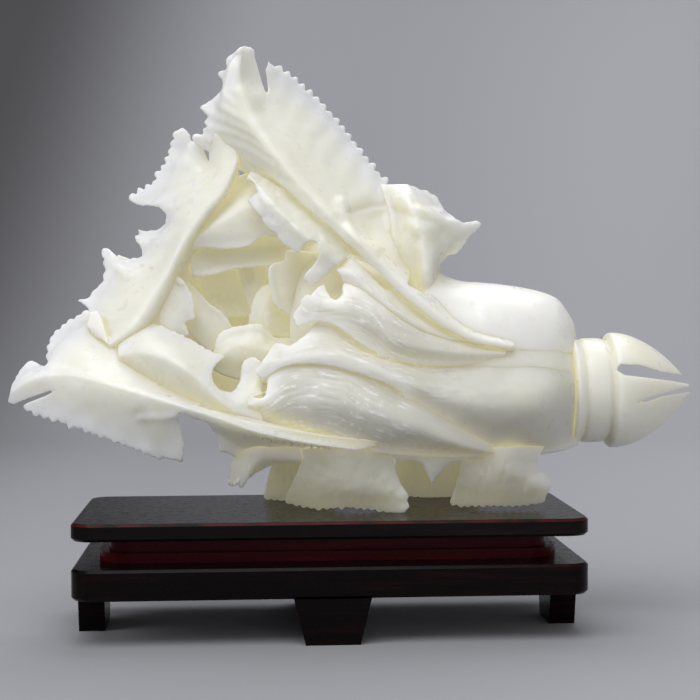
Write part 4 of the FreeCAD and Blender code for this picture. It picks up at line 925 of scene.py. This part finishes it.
def front_stalk(name, lines, seed, end, rows=300, columns=60):
    """Chisel-cut stalk whose ragged end runs along a row of seen points."""
    wide = ([(.5, 2), (.6, 6)], [(.5, 2), (.6, 6)])
    leaf = Leaf(lines, rows=rows, columns=columns, soft=1.0, iron=.08, wide=wide, tip=6.0)
    leaf.worn(0.35 * MM, 9 * MM, seed)
    leaf.strokes(0.35 * MM, 9 * MM, 1.2 * MM, seed + 1, start=0.35)
    piece = leaf.shell(name, 2.2 * MM, 6 * MM, ramp=9 * MM, tip=6 * MM)
    return cut_out(piece, leaf, sheet_px(lines, wide, end=end, wear=0.7, seed=seed + 2), voxel=0.4 * MM)


def main_front_stalk(name):
    return front_stalk(name, MAIN_FRONT_STALK_PX, 41, rows=340, columns=70,
                       end=[(267, 355), (263, 360), (260, 366), (256, 370), (255, 373), (259, 377)])


def lower_front_stalk(name):
    return front_stalk(name, LOWER_FRONT_STALK_PX, 44, columns=66,
                       end=[(268, 391), (259, 393), (250, 395), (247, 400), (248, 409)])


def middle_front_stalk(name):
    return front_stalk(name, MIDDLE_FRONT_STALK_PX, 47,
                       end=[(325, 284), (318, 287), (310, 296), (307, 294), (301, 300), (300, 305),
                            (294, 313), (293, 320)])


def upper_front_stalk(name):
    return front_stalk(name, UPPER_FRONT_STALK_PX, 50, columns=40,
                       end=[(345, 257), (338, 265), (336, 271), (341, 275), (342, 281)])


def plain_leaf(name, lines, thin, thick, rows, columns, seed, turn=None):
    """Leaf that is hardly seen: no outline is cut, and its normals may be turned to a side."""
    leaf = Leaf(lines, rows=rows, columns=columns)
    if turn:
        leaf.facing(turn)
    leaf.worn(0.3 * MM, 8 * MM, seed)
    leaf.ragged(0.25 * MM, 2.0 * MM, seed + 1)
    return leaf.shell(name, thin * MM, thick * MM, ramp=10 * MM, tip=3.0 * MM)


def petal(name, lines, seed, free=False):
    """Inner leaf with one free margin: its last line if free is set, or else its first."""
    wide = (2, 6) if free else (6, 2)
    leaf = Leaf(lines, rows=120, columns=40, soft=0.8, iron=.08, wide=wide, tip=3.0)
    leaf.worn(0.25 * MM, 6 * MM, seed)
    leaf.lip(free, 0.7 * MM, 2.0 * MM)
    piece = leaf.shell(name, 1.5 * MM, 3.6 * MM, ramp=8 * MM, tip=3 * MM)
    return cut_out(piece, leaf, sheet_px(lines, wide, wear=0.6, seed=seed))


def back_curled_leaf(name):
    wide = (2, 9)
    leaf = Leaf(BACK_CURLED_LEAF_PX, rows=240, columns=64, soft=0.8, iron=.05, wide=wide)
    leaf.crease([(404, 196), (412, 206), (426, 211), (442, 212)], -0.9 * MM, 4)
    leaf.crease([(398, 212), (415, 217), (436, 221)], 0.8 * MM, 5)
    leaf.crease([(425, 300), (424, 275), (432, 255), (450, 238), (472, 226)], -1.0 * MM, 6)
    leaf.crease([(412, 300), (412, 270), (416, 240)], 1.0 * MM, 7)
    leaf.dent((446, 228, 4), 1.2 * MM, 18, 10, turn=-0.7)
    leaf.worn(0.35 * MM, 5 * MM, 79)
    piece = leaf.shell(name, 1.6 * MM, 4.6 * MM, ramp=12 * MM, tip=5 * MM)
    return cut_out(piece, leaf, sheet_px(BACK_CURLED_LEAF_PX, wide, wear=0.7, seed=80))


def board_room():
    """Box that the top board fills, for cutting the feet off at its top."""
    low, high = BOARD_LOW, BOARD_HIGH
    outline = [(low.x, low.z), (high.x, low.z), (high.x, high.z), (low.x, high.z)]
    corners = [(x, y, z) for y in (low.y, high.y) for x, z in outline]
    faces = [(0, 1, 2, 3), (7, 6, 5, 4), (0, 4, 5, 1), (1, 5, 6, 2), (2, 6, 7, 3), (3, 7, 4, 0)]
    return listed("board_room", corners, faces)


def foot(name, lines, seed, sole, teeth, high=2.6):
    """Flared end of a lower leaf that stands on a row of small teeth."""
    leaf = Leaf(lines, rows=120, columns=80, soft=1.0, wide=(6, 6), base=1.0, tip=5.0)
    leaf.strokes(0.25 * MM, 12 * MM, 1.6 * MM, seed, start=0.2)
    leaf.worn(0.3 * MM, 6 * MM, seed)
    piece = leaf.shell(name, 2.4 * MM, 6 * MM, ramp=10 * MM, tip=10 * MM)
    places = np.linspace(0, 1, len(sole))
    line = [(place, *point) for place, point in zip(places, sole)]
    end = margin_px(line, -1, wide=9, teeth=[(0, 1, teeth, high)], wear=0.5, seed=seed)
    outline = sheet_px(lines, (6, 6), end=end, seed=seed)
    combine(piece, board_room(), "DIFFERENCE")
    return cut_out(piece, leaf, outline, voxel=0.4 * MM)


def front_fringe(name):
    """Pendant of the lowest leaf between the two front feet."""
    lines = [[line[0], line[-1]] for line in FRONT_FRINGE_PX]
    leaf = Leaf(lines, rows=50, columns=50, soft=1.0, wide=(3, 3), base=1.0)
    leaf.worn(0.3 * MM, 6 * MM, 111)
    piece = leaf.shell(name, 2.4 * MM, 3.6 * MM, ramp=10 * MM, tip=10 * MM)
    return cut_out(piece, leaf, FRONT_FRINGE_SHEET_PX)


def heart_core(name):
    """Solid round heart behind the leaves."""
    rings = [spots(points) for points in HEART_CORE_PX]
    turn = np.linspace(0, 2 * math.pi, 64, endpoint=False)
    place = np.linspace(0, 1, 120)
    knots = np.linspace(0, 1, len(rings))
    top, near, low, far = (curve(knots, np.array([ring[i] for ring in rings]), place) for i in range(4))
    middle = (top + low + near + far) / 4
    up = np.where(np.cos(turn)[None, :, None] > 0, (top - middle)[:, None], (middle - low)[:, None])
    side = np.where(np.sin(turn)[None, :, None] > 0, (near - middle)[:, None], (middle - far)[:, None])
    ring = middle[:, None] + up * np.cos(turn)[None, :, None] + side * np.sin(turn)[None, :, None]
    return tube(name, ring)


def root_claws(name):
    """Neck ring and pointed claws, turned about the cabbage's axis and cut by a slot and a crease."""
    low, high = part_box("root_claws")
    axis_z = (low.z + high.z) / 2
    bulb = (high.z - low.z) / 2
    tip = high.x
    neck = low.x
    # Place along X and share of the bulb's radius, about the start of the claws
    start = tip - 38.6 * MM
    profile = [(neck, 0), (neck, .86), (start - 12.6 * MM, .90), (start - 11.2 * MM, .86),
               (start - 10.2 * MM, .90), (start - 6 * MM, .91), (start - 2 * MM, .90),
               (start - .5 * MM, .87), (start + .8 * MM, .93), (start + 2.4 * MM, 1.0),
               (start + 8 * MM, .98), (start + 14 * MM, .90), (start + 22 * MM, .72),
               (start + 30 * MM, .45), (start + 36 * MM, .18), (tip, .02)]
    steps = np.array(profile)
    along = np.linspace(0, 1, 220)
    knots = np.linspace(0, 1, len(steps))
    line = curve(knots, steps, along)
    turn = np.linspace(0, 2 * math.pi, 160, endpoint=False)
    radius = np.maximum(line[:, 1], 0.004) * bulb
    ring = np.stack([np.repeat(line[:, :1], len(turn), 1), -radius[:, None] * np.sin(turn)[None],
                     axis_z + radius[:, None] * np.cos(turn)[None]], -1)
    piece = tube(name, ring)
    slot = [(620, 364), (640, 365), (663, 372), (700, 377), (700, 386), (672, 381), (649, 378), (624, 375),
            (617, 370)]
    crease = [(700, 383), (664, 393), (645, 399), (627, 404), (645, 402), (664, 396), (700, 390)]
    cutters = [prism("claw_slot", slot), prism("claw_crease", crease)]
    for cutter in cutters:
        combine(piece, cutter, "DIFFERENCE")
    return remesh(piece, 0.45 * MM, rounds=4)


# Meshes and what is done to them


def listed(name, corners, faces):
    """Object from a list of corners and a list of faces."""
    mesh = bpy.data.meshes.new(name)
    mesh.from_pydata(corners, [], faces)
    return outward(new_object(name, mesh))


def tube(name, ring):
    """Object from rings of points, with one flat face at either end."""
    rows, around = ring.shape[:2]
    index = np.arange(rows * around).reshape(rows, around)
    faces = ring_quads(index).tolist() + [index[0].tolist(), index[-1].tolist()]
    return listed(name, ring.reshape(-1, 3).tolist(), faces)


def prism(name, outline):
    """Cutter along the line of sight, from an outline seen in the photograph."""
    count = len(outline)
    ends = [spots([(u, v, depth) for u, v in outline]) for depth in (-CUTTER_DEPTH_PX, CUTTER_DEPTH_PX)]
    faces = [list(range(count)), list(range(2 * count - 1, count - 1, -1))]
    faces += [[i, (i + 1) % count, count + (i + 1) % count, count + i] for i in range(count)]
    return listed(name, np.concatenate(ends).tolist(), faces)


def apply_modifiers(piece):
    """Put the mesh that the modifiers make in the place of the old one."""
    graph = bpy.context.evaluated_depsgraph_get()
    mesh = bpy.data.meshes.new_from_object(piece.evaluated_get(graph))
    piece.modifiers.clear()
    piece.data = mesh


def combine(piece, other, operation):
    """Cut a piece by another, which is used up."""
    cut = piece.modifiers.new("cut", "BOOLEAN")
    cut.operation = operation
    cut.solver = "MANIFOLD"
    cut.object = other
    apply_modifiers(piece)
    bpy.data.objects.remove(other)


def remesh(piece, voxel, rounds):
    """One even skin with softened edges."""
    skin = piece.modifiers.new("skin", "REMESH")
    skin.mode = "VOXEL"
    skin.voxel_size = voxel
    soft = piece.modifiers.new("soft", "SMOOTH")
    soft.factor = 0.5
    soft.iterations = rounds
    apply_modifiers(piece)
    piece.data.polygons.foreach_set("use_smooth", np.ones(len(piece.data.polygons), bool))
    return piece


# Materials

WHITE = (0.84, 0.835, 0.77)
WHITE_CLOUD = (0.81, 0.80, 0.71)
# Painted shade: a darker, greyer copy of the stone's colours for the front stalks
STALK_PAINTED_SHADE = (0.68, 0.675, 0.64)
STALK_CLOUD_PAINTED_SHADE = (0.62, 0.615, 0.55)
# Painted light at the thin margins
PAINTED_LIT_EDGE = (0.88, 0.88, 0.85)
STROKE_WHITE = (0.88, 0.88, 0.88)
# Painted shade: warmer, yellower and darker colours for slopes, deep places and close hollows
PAINTED_SHADE_SLOPE = (0.765, 0.74, 0.61)
PAINTED_SHADE_DEPTH = (0.75, 0.72, 0.55)
PAINTED_SHADE_HOLLOW = (0.80, 0.76, 0.55)
# Painted glow in the hollows
PAINTED_GLOW = (0.80, 0.77, 0.57)
RED_EDGE = (0.075, 0.005, 0.006)


class Nodes:
    """Short way to build a node material."""

    def __init__(self, name):
        self.material = bpy.data.materials.new(name)
        self.material.use_nodes = True
        self.tree = self.material.node_tree
        self.surface = self.tree.nodes["Principled BSDF"]
        self.place = self.tree.nodes.new("ShaderNodeTexCoord").outputs["Object"]

    def add(self, kind, inputs=None, **settings):
        """New node with its settings and what goes into it."""
        node = self.tree.nodes.new(kind)
        for name, value in settings.items():
            setattr(node, name, value)
        for name, value in (inputs or {}).items():
            self.join(value, node.inputs[name])
        return node

    def join(self, source, target):
        """Give a socket a value, or the output of another node."""
        if isinstance(source, (int, float, tuple)):
            target.default_value = source
        else:
            self.tree.links.new(source, target)

    def noise(self, scale, detail=3.0, rough=0.55, stretch=None, place=None):
        """Cloudy values about 0.5."""
        place = place or self.place
        if stretch:
            place = self.add("ShaderNodeMapping", {"Scale": stretch, "Vector": place}).outputs["Vector"]
        inputs = {"Vector": place, "Scale": scale, "Detail": detail, "Roughness": rough}
        return self.add("ShaderNodeTexNoise", inputs).outputs["Fac"]

    def openness(self, distance):
        """From 0 in a closed hollow to 1 where nothing is near."""
        return self.add("ShaderNodeAmbientOcclusion", {"Distance": distance}, samples=8).outputs["AO"]

    def axis(self, letter):
        """One coordinate of the object."""
        return self.add("ShaderNodeSeparateXYZ", {0: self.place}).outputs[letter]

    def spread(self, value, low, high, to_low=0.0, to_high=1.0):
        """Smooth step between two values, with what it gives below and above them."""
        inputs = {"Value": value, "From Min": low, "From Max": high, "To Min": to_low, "To Max": to_high}
        return self.add("ShaderNodeMapRange", inputs, interpolation_type="SMOOTHSTEP").outputs["Result"]

    def math(self, operation, first, second):
        """Result of one operation on two values."""
        return self.add("ShaderNodeMath", {0: first, 1: second}, operation=operation).outputs[0]

    def blend(self, share, first, second):
        """Colour between two colours."""
        node = self.add("ShaderNodeMix", {"Factor": share}, data_type="RGBA")
        colours = [socket for socket in node.inputs if socket.type == "RGBA"]
        for socket, value in zip(colours, (first, second)):
            self.join(value + (1.0,) if isinstance(value, tuple) else value, socket)
        return next(socket for socket in node.outputs if socket.type == "RGBA")

    def bump(self, height, distance, strength=1.0, under=None):
        """Normals for small heights, over those of another bump."""
        node = self.add("ShaderNodeBump", {"Height": height, "Distance": distance, "Strength": strength})
        if under:
            self.join(under, node.inputs["Normal"])
        return node.outputs["Normal"]

    def set(self, **values):
        """Give the surface its values, by the names of its sockets."""
        for name, value in values.items():
            socket = self.surface.inputs[name.replace("_", " ")]
            if isinstance(value, tuple) and socket.type == "RGBA":
                value = value + (1.0,)
            self.join(value, socket)


def white_jade(name, painted_edge_light=True, strokes=False, light=WHITE, cloudy=WHITE_CLOUD):
    """Pale translucent jade, with painted light (milky white) at the thin margins and painted shade (warm
    yellow-green) on slopes, in deep places and in close hollows.
    """
    nodes = Nodes(name)
    # Openness over a broad and a close distance steers the painted shade and the painted glow
    broad = nodes.openness(55 * MM)
    near = nodes.openness(9 * MM)
    cloud = nodes.noise(30, 4)
    white = nodes.blend(nodes.spread(cloud, 0.35, 0.7), light, cloudy)
    # Painted light: milky white within 9 mm of the seen outline
    if painted_edge_light:
        edge = nodes.add("ShaderNodeAttribute", attribute_name="from_edge").outputs["Fac"]
        white = nodes.blend(nodes.spread(edge, 0, 9 * MM), PAINTED_LIT_EDGE, white)
    # Painted shade: warmer on slopes, yellower and darker in deep places and in close hollows
    warm = nodes.blend(nodes.spread(broad, 0.40, 0.92, 1.0, 0.0), white, PAINTED_SHADE_SLOPE)
    deep = nodes.blend(nodes.spread(broad, 0.02, 0.48, 1.0, 0.0), warm, PAINTED_SHADE_DEPTH)
    body = nodes.blend(nodes.spread(near, 0.15, 0.75, 0.8, 0.0), deep, PAINTED_SHADE_HOLLOW)
    rough = nodes.spread(nodes.noise(140, 3), 0.3, 0.7, 0.26, 0.42)
    if strokes:
        along = nodes.add("ShaderNodeAttribute", attribute_name="along").outputs["Vector"]
        chisel = nodes.spread(nodes.noise(1, 2, 0.5, stretch=(1.1, 8, 1), place=along), 0.56, 0.66)
        # The strokes show less towards the root end
        share = nodes.spread(nodes.axis("X"), 5 * MM, 45 * MM, 0.75, 0.0)
        body = nodes.blend(nodes.math("MULTIPLY", chisel, share), body, STROKE_WHITE)
    fine = nodes.noise(900, 3)
    nodes.set(Base_Color=body, Roughness=rough, IOR=1.5, Subsurface_Weight=0.9, Subsurface_Scale=9 * MM,
              Subsurface_Radius=(1.0, 0.95, 0.70))
    nodes.set(Normal=nodes.bump(fine, 0.04 * MM, 0.5, nodes.bump(nodes.noise(220, 3), 0.12 * MM, 0.5)))
    # Painted glow: emission in the hollows that stands in for light reaching them through the stone
    nodes.set(Emission_Color=PAINTED_GLOW, Emission_Strength=nodes.spread(broad, 0.0, 0.55, 0.20, 0.0))
    return nodes.material


def lacquer(name, dark, worn, line=None):
    """Lacquer over wood whose grain runs along X, with a worn red line just under a height."""
    nodes = Nodes(name)
    grain = nodes.noise(520, 5, 0.65, stretch=(0.05, 1, 1))
    bands = nodes.noise(60, 3, 0.5, stretch=(0.12, 1, 1))
    colour = nodes.blend(nodes.spread(nodes.math("MULTIPLY", grain, bands), 0.22, 0.42), dark, worn)
    if line:
        height = nodes.axis("Z")
        low = nodes.spread(height, line - 1.4 * MM, line - 0.7 * MM)
        high = nodes.spread(height, line - 0.35 * MM, line - 0.05 * MM, 1.0, 0.0)
        patch = nodes.spread(nodes.noise(70, 4), 0.30, 0.60)
        band = nodes.math("MULTIPLY", low, high)
        colour = nodes.blend(nodes.math("MULTIPLY", band, patch), colour, RED_EDGE)
    dust = nodes.noise(260, 4)
    nodes.set(Base_Color=colour, Roughness=nodes.spread(dust, 0.3, 0.7, 0.22, 0.29), IOR=1.45,
              Specular_IOR_Level=0.10)
    nodes.set(Normal=nodes.bump(grain, 0.01 * MM, 0.3))
    return nodes.material


def bare_wood():
    """Light wood of the dowels, with its grain along Z."""
    nodes = Nodes("dowel wood")
    grain = nodes.noise(500, 4, 0.6, stretch=(1, 1, 0.08))
    nodes.set(Base_Color=nodes.blend(nodes.spread(grain, 0.35, 0.65), (0.48, 0.32, 0.18), (0.62, 0.45, 0.28)),
              Roughness=0.7)
    nodes.set(Normal=nodes.bump(grain, 0.1 * MM))
    return nodes.material


def paper(name, light, dark):
    """Grey paper sweep with painted shade that darkens it towards the upper left and on the floor, and
    painted light that lightens it towards the right.
    """
    nodes = Nodes(name)
    height = nodes.axis("Z")
    across = nodes.math("MULTIPLY", nodes.axis("X"), 2.8)
    slant = nodes.math("ADD", across, nodes.math("MULTIPLY", height, -0.87))
    # Painted light: lighter towards the right; painted shade: darker towards the upper left
    painted_lighter = tuple(1.27 * part for part in light)
    right = nodes.blend(nodes.spread(slant, -0.1, 1.2), light, painted_lighter)
    sweep_with_painted_shade = nodes.blend(nodes.spread(slant, -1.44, -0.44), dark, right)
    # Painted shade on the floor, darkest at the ground and gone 0.7 m up
    ground = nodes.spread(height, 0.0, 0.7, 0.22, 0.0)
    nodes.set(Base_Color=nodes.blend(ground, sweep_with_painted_shade, (0.0, 0.0, 0.0)), Roughness=0.85, Specular_IOR_Level=0.2)
    nodes.set(Normal=nodes.bump(nodes.noise(900, 2), 0.1 * MM, 0.2))
    return nodes.material


# The view, the light and the floor


def camera():
    """The photograph's view."""
    data = bpy.data.cameras.new("view")
    data.sensor_width = SENSOR_MM
    data.lens = FOCAL_PX / PICTURE_PX * SENSOR_MM
    data.clip_start = 0.05
    data.clip_end = 30
    eye = bpy.data.objects.new("view", data)
    ahead, right, up = view_axes()
    turned = zip(right, up, -ahead)
    eye.matrix_world = Matrix([(*line, place) for line, place in zip(turned, EYE)] + [(0, 0, 0, 1)])
    bpy.context.scene.collection.objects.link(eye)
    bpy.context.scene.camera = eye


def softbox(name, place, aim, wide, watts):
    """Round soft lamp."""
    data = bpy.data.lights.new(name, "AREA")
    data.shape = "DISK"
    data.size = wide
    data.energy = watts
    lamp = bpy.data.objects.new(name, data)
    lamp.location = place
    lamp.rotation_euler = (Vector(aim) - Vector(place)).to_track_quat("-Z", "Y").to_euler()
    bpy.context.scene.collection.objects.link(lamp)


def sweep():
    """Floor that curves up into the backdrop."""
    front, back, bend = -2.5, 0.9, 0.6
    side = top = 3.0
    turns = np.linspace(0, math.pi / 2, 24)[1:]
    profile = [(front, 0.0), (back, 0.0)]
    profile += [(back + bend * math.sin(turn), bend - bend * math.cos(turn)) for turn in turns]
    profile += [(back + bend, top)]
    corners = [(x, y, z) for y, z in profile for x in (-side, side)]
    faces = [(2 * i, 2 * i + 1, 2 * i + 3, 2 * i + 2) for i in range(len(profile) - 1)]
    mesh = bpy.data.meshes.new("sweep")
    mesh.from_pydata(corners, [], faces)
    mesh.polygons.foreach_set("use_smooth", np.ones(len(faces), bool))
    mesh.materials.append(paper("grey paper", light=(0.405, 0.41, 0.445), dark=(0.098, 0.098, 0.108)))
    new_object("sweep", mesh)


def world():
    """Weak warm light from all sides."""
    scene = bpy.context.scene
    scene.world = bpy.data.worlds.new("studio")
    scene.world.use_nodes = True
    ground = scene.world.node_tree.nodes["Background"]
    ground.inputs["Color"].default_value = (1.0, 0.99, 0.96, 1)
    ground.inputs["Strength"].default_value = 0.36
    scene.view_settings.view_transform = "Standard"


# Putting it together


def finished(piece, material):
    """Give a piece one material."""
    piece.data.materials.clear()
    piece.data.materials.append(material)


jade = white_jade("white jade")
# The front stalks take a darker, greyer copy of the jade: painted shade
stroked_jade = white_jade("white jade stalk", strokes=True, light=STALK_PAINTED_SHADE, cloudy=STALK_CLOUD_PAINTED_SHADE)
solid_jade = white_jade("white jade body", painted_edge_light=False)
FINISHES = {"root_claws": solid_jade, "heart_core": solid_jade, "main_front_stalk": stroked_jade,
            "lower_front_stalk": stroked_jade, "middle_front_stalk": stroked_jade,
            "upper_front_stalk": stroked_jade}
OBJECT_MIDDLE = (0, 0, 0.12)

# Pieces that take the place of a solid of the frame, by its node
CARVED = {
    "root_claws": root_claws,
    "heart_core": heart_core,
    "main_front_stalk": main_front_stalk,
    "lower_front_stalk": lower_front_stalk,
    "middle_front_stalk": middle_front_stalk,
    "upper_front_stalk": upper_front_stalk,
    "upper_leaf": upper_leaf,
    "inner_right_leaf": inner_right_leaf,
    "back_left_leaf": back_left_leaf,
    "lower_left_leaf": lower_left_leaf,
    "inner_front_leaf": inner_front_leaf,
    "heart_cup": lambda name: plain_leaf(name, HEART_CUP_PX, 2.2, 4, rows=120, columns=60, seed=61),
    "inner_fold": lambda name: petal(name, INNER_FOLD_PX, 97, free=True),
    "deep_right_petal": lambda name: petal(name, DEEP_RIGHT_PETAL_PX, 99),
    "top_inner_leaf": lambda name: petal(name, TOP_INNER_LEAF_PX, 64, free=True),
    "right_petal": lambda name: petal(name, RIGHT_PETAL_PX, 67),
    "lower_petal": lambda name: petal(name, LOWER_PETAL_PX, 70),
    "left_petal": lambda name: petal(name, LEFT_PETAL_PX, 73, free=True),
    "back_stalk": lambda name: plain_leaf(name, BACK_STALK_PX, 3, 6, rows=200, columns=70, seed=76,
                                          turn=(0.2, -0.4, 1)),
    "back_curled_leaf": back_curled_leaf,
    "rear_upper_leaf": lambda name: plain_leaf(name, REAR_UPPER_LEAF_PX, 2.5, 6, rows=240, columns=70,
                                               seed=82, turn=(0, 1, 0.3)),
    "rear_lower_leaf": lambda name: plain_leaf(name, REAR_LOWER_LEAF_PX, 2.5, 6, rows=240, columns=70,
                                               seed=85, turn=(0, 1, -0.3)),
    "front_left_foot": lambda name: foot(name, FRONT_LEFT_FOOT_PX, 88, FRONT_LEFT_SOLE_PX, 17),
    "front_right_foot": lambda name: foot(name, FRONT_RIGHT_FOOT_PX, 90, FRONT_RIGHT_SOLE_PX, 13),
    "back_left_foot": lambda name: foot(name, BACK_LEFT_FOOT_PX, 92, BACK_LEFT_SOLE_PX, 10),
    "back_right_foot": lambda name: foot(name, BACK_RIGHT_FOOT_PX, 94, BACK_RIGHT_SOLE_PX, 12),
    "left_stub": lambda name: foot(name, LEFT_STUB_PX, 96, LEFT_STUB_SOLE_PX, 4, 1.6),
}

# Pieces that only the scene has
EXTRA = {
    "deep_left_petal_carving": lambda name: petal(name, DEEP_LEFT_PETAL_PX, 101),
    "deep_middle_petal_carving": lambda name: petal(name, DEEP_MIDDLE_PETAL_PX, 103),
    "deep_back_petal_carving": lambda name: petal(name, DEEP_BACK_PETAL_PX, 105),
    "front_fringe_carving": front_fringe,
}

for name, maker in EXTRA.items():
    piece = maker(name)
    finished(piece, jade)
    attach(piece, "carving")

for node, maker in CARVED.items():
    piece = maker(node + "_carving")
    finished(piece, FINISHES.get(node, jade))
    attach(piece, "carving")
    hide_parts(node)

black = lacquer("black lacquer", dark=(0.0022, 0.0013, 0.0015), worn=(0.014, 0.0022, 0.0030))
board = lacquer("black lacquer board", dark=(0.0045, 0.0035, 0.0035), worn=(0.014, 0.008, 0.007),
                line=BOARD_HIGH.z)
red = lacquer("red lacquer", dark=(0.055, 0.001, 0.004), worn=(0.10, 0.003, 0.007))
pegs = bare_wood()
STAND = {"top_board": board, "base_board": black, "stand_waist": red, "front_foot": black, "back_foot": black,
         "left_foot": black, "right_foot": black, "waist_dowels": pegs, "foot_dowels": pegs}
for node, finish in STAND.items():
    finished(frame["nodes"][node], finish)

camera()
sweep()
world()
softbox("key", (-0.25, -0.65, 1.5), OBJECT_MIDDLE, wide=1.3, watts=13)
softbox("back", (0.2, 0.75, 1.6), OBJECT_MIDDLE, wide=1.2, watts=12)
softbox("side", (-1.5, -0.7, 0.9), (0, 0, 0.14), wide=1.0, watts=8)
softbox("front", (0.2, -1.4, 0.25), OBJECT_MIDDLE, wide=1.2, watts=2.8)
